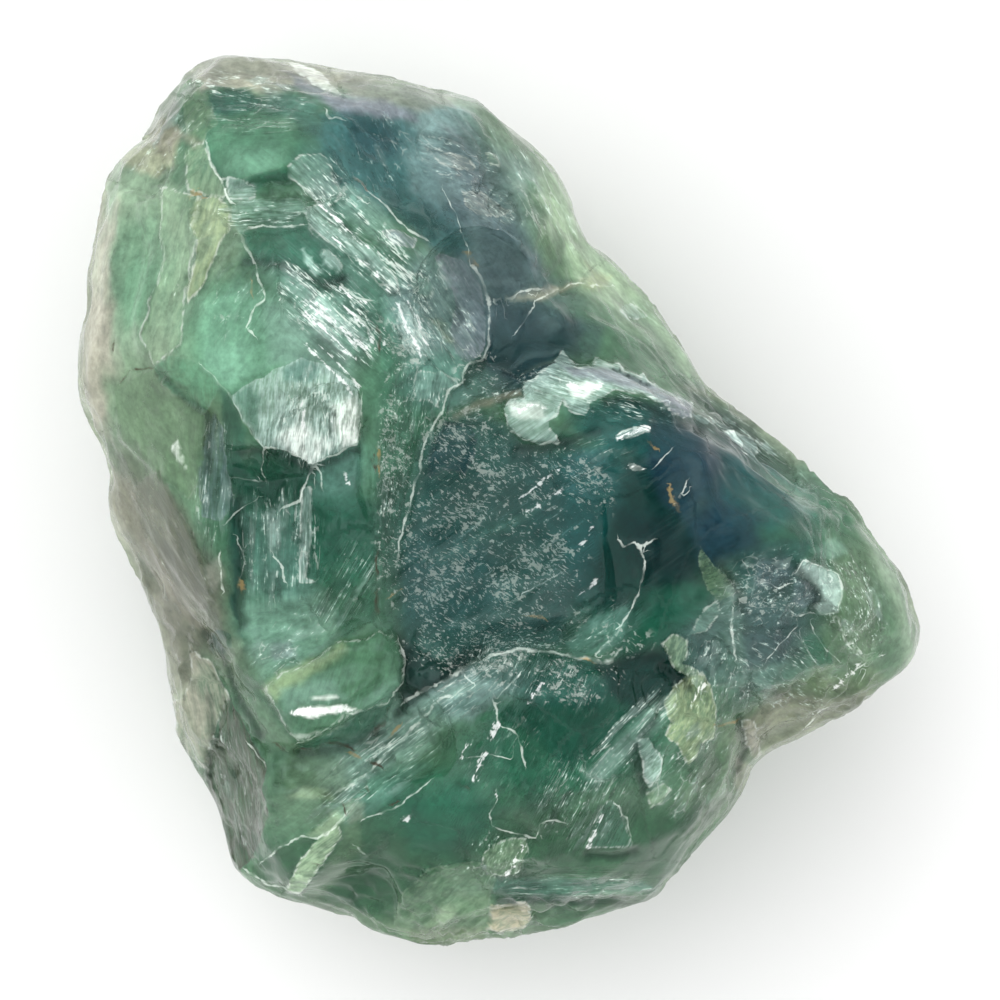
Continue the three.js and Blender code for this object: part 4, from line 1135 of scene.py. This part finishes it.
def material_stone():
    """Clear where nothing scatters, milky on streaks, sheets and lines."""
    material = bpy.data.materials.new("fluorite")
    material.use_nodes = True
    tree = material.node_tree
    shader = tree.nodes["Principled BSDF"]
    g = Graph(tree)
    place = g.add("TexCoord").outputs["Object"]
    flow = g.read("flow")
    cover, specks, white = g.parts("facts")
    depth, rim, milk = g.parts("sheet")
    fine = g.noise(place, GRIT_SCALE, 2, 0.65)
    grit = g.less(fine, 0.5)
    clump = g.less(g.noise(place, CLUMP_SCALE, 2, 0.6), 0.5)
    hair = g.noise(flow, 1.6, 2, 0.65)
    sway = g.less(hair, 0.5)

    wisp, fleck = frosted_streaks(g, flow, cover, hair, grit)
    dash = etched_specks(g, place, specks, fine, clump)
    on_sheet, edge = crisp_sheets(g, depth, rim, hair, grit)
    on_pale, on_rust, on_gold = thin_lines(g, grit)
    # White strokes: white fractures, and partly painted highlights and glints
    on_white = g.ramp(g.plus(white, g.times(grit, 2.6), g.times(sway, 3.0)), 0.5, 1.1)
    facet, veil, crack = broken_facets(g, flow, cover, fine, grit, clump)

    streaked = g.times(on_sheet, g.ramp(hair, 0.35, 0.65, 0.45, 1.0))
    colour = g.mix(streaked, g.read("tint", "Color"), g.read("sheet_tint", "Color"))
    tone = g.plus(g.times(g.less(facet, 0.5), 0.5), g.times(sway, 1.6))
    tone = g.plus(g.times(tone, g.plus(0.25, cover)), g.times(grit, 0.9))
    tone = g.plus(tone, g.times(clump, g.plus(0.4, specks)))
    gain = g.math("MAXIMUM", 0.3, g.plus(1.0, tone))
    colour = g.add("VectorMath", {0: colour, "Scale": gain}, operation="SCALE").outputs[0]
    for mark, strength, name, dimmed in (
        (veil, 0.3, "ice", 1.0), (wisp, 0.5, "ice", 1.0), (fleck, 0.65, "chalk", 1.0),
        (dash, 0.5, "chalk", 1.0), (crack, 0.4, "chalk", 1.0), (edge, 0.5, "chalk", 1.0),
        (on_pale, 0.5, "chalk", 1.0), (on_white, 0.65, "white", 1.0), (on_gold, 0.6, "gold", 1.0),
        (on_rust, 0.75, "rust", 0.7),
    ):
        colour = g.mix(g.times(mark, strength), colour, rgba(name, dimmed))
    g.feed(shader.inputs["Base Color"], colour)

    frost = g.plus(g.times(wisp, 0.2), g.times(fleck, 0.25))
    frost = g.plus(frost, g.times(g.math("MAXIMUM", on_pale, on_white), 0.35))
    clear = g.math("SUBTRACT", 1.0, g.plus(milk, frost), clamp=True)
    g.feed(shader.inputs["Transmission Weight"], clear)
    rough = g.plus(0.1, g.times(wisp, 0.15), g.ramp(fine, 0.3, 0.7, 0, 0.12), g.times(on_rust, 0.4))
    g.feed(shader.inputs["Roughness"], rough)
    shader.inputs["IOR"].default_value = IOR
    shader.inputs["Specular IOR Level"].default_value = GLOSS
    shader.inputs["Specular Tint"].default_value = GLOSS_TINT

    # Relief finer than the mesh
    height = g.times(hair, g.plus(cover, 0.15))
    bump = g.add("Bump", {"Strength": 0.6, "Distance": BUMP_RISE * MM, "Height": height})
    g.feed(shader.inputs["Normal"], bump.outputs[0])

    inside = g.add("VolumeAbsorption", {"Color": BODY_COLOUR, "Density": BODY_DENSITY})
    out = next(node for node in tree.nodes if node.type == "OUTPUT_MATERIAL")
    tree.links.new(inside.outputs[0], out.inputs["Volume"])
    return material


def make_floor():
    data = bpy.data.meshes.new("floor")
    half = FLOOR_HALF * MM
    corners = [(-half, -half, 0), (half, -half, 0), (half, half, 0), (-half, half, 0)]
    data.from_pydata(corners, [], [(0, 1, 2, 3)])
    floor = bpy.data.objects.new("floor", data)
    bpy.context.scene.collection.objects.link(floor)
    material = bpy.data.materials.new("floor")
    material.use_nodes = True
    shader = material.node_tree.nodes["Principled BSDF"]
    shader.inputs["Base Color"].default_value = FLOOR_COLOUR
    shader.inputs["Roughness"].default_value = 0.8
    data.materials.append(material)


def make_light():
    """A white room: bright low down, dim overhead, with a broad soft glow at the upper left."""
    world = bpy.data.worlds.new("world")
    bpy.context.scene.world = world
    world.use_nodes = True
    world.cycles.sampling_method = "NONE"
    g = Graph(world.node_tree)
    sky = world.node_tree.nodes["Background"]
    way = g.add("TexCoord").outputs["Generated"]
    up = g.add("SeparateXYZ", {0: way}).outputs[2]
    toward = g.add("VectorMath", {0: way, 1: Vector(KEY_WAY).normalized()}, operation="DOT_PRODUCT")
    glow = g.ramp(toward.outputs["Value"], 0.7, 1.0, 0, KEY_LIGHT)
    room = g.ramp(up, 0.75, 0.95, HORIZON_LIGHT, ZENITH_LIGHT)
    g.feed(sky.inputs["Strength"], g.plus(glow, room))
    sky.inputs["Color"].default_value = (1, 1, 1, 1)


def make_camera():
    data = bpy.data.cameras.new("camera")
    camera = bpy.data.objects.new("camera", data)
    bpy.context.scene.collection.objects.link(camera)
    data.sensor_width = SENSOR
    data.lens = SENSOR * (CAMERA_HEIGHT - RIM) / (PICTURE_SIZE * PIXEL)
    camera.location = (0, 0, CAMERA_HEIGHT * MM)
    bpy.context.scene.camera = camera
    bpy.context.scene.view_settings.view_transform = "Standard"


def main():
    stone = remeshed_copy(NODE)
    carve(stone)
    stone.data.materials.clear()
    stone.data.materials.append(material_stone())
    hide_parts(NODE)
    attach(stone, "root")
    make_floor()
    make_light()
    make_camera()


main()
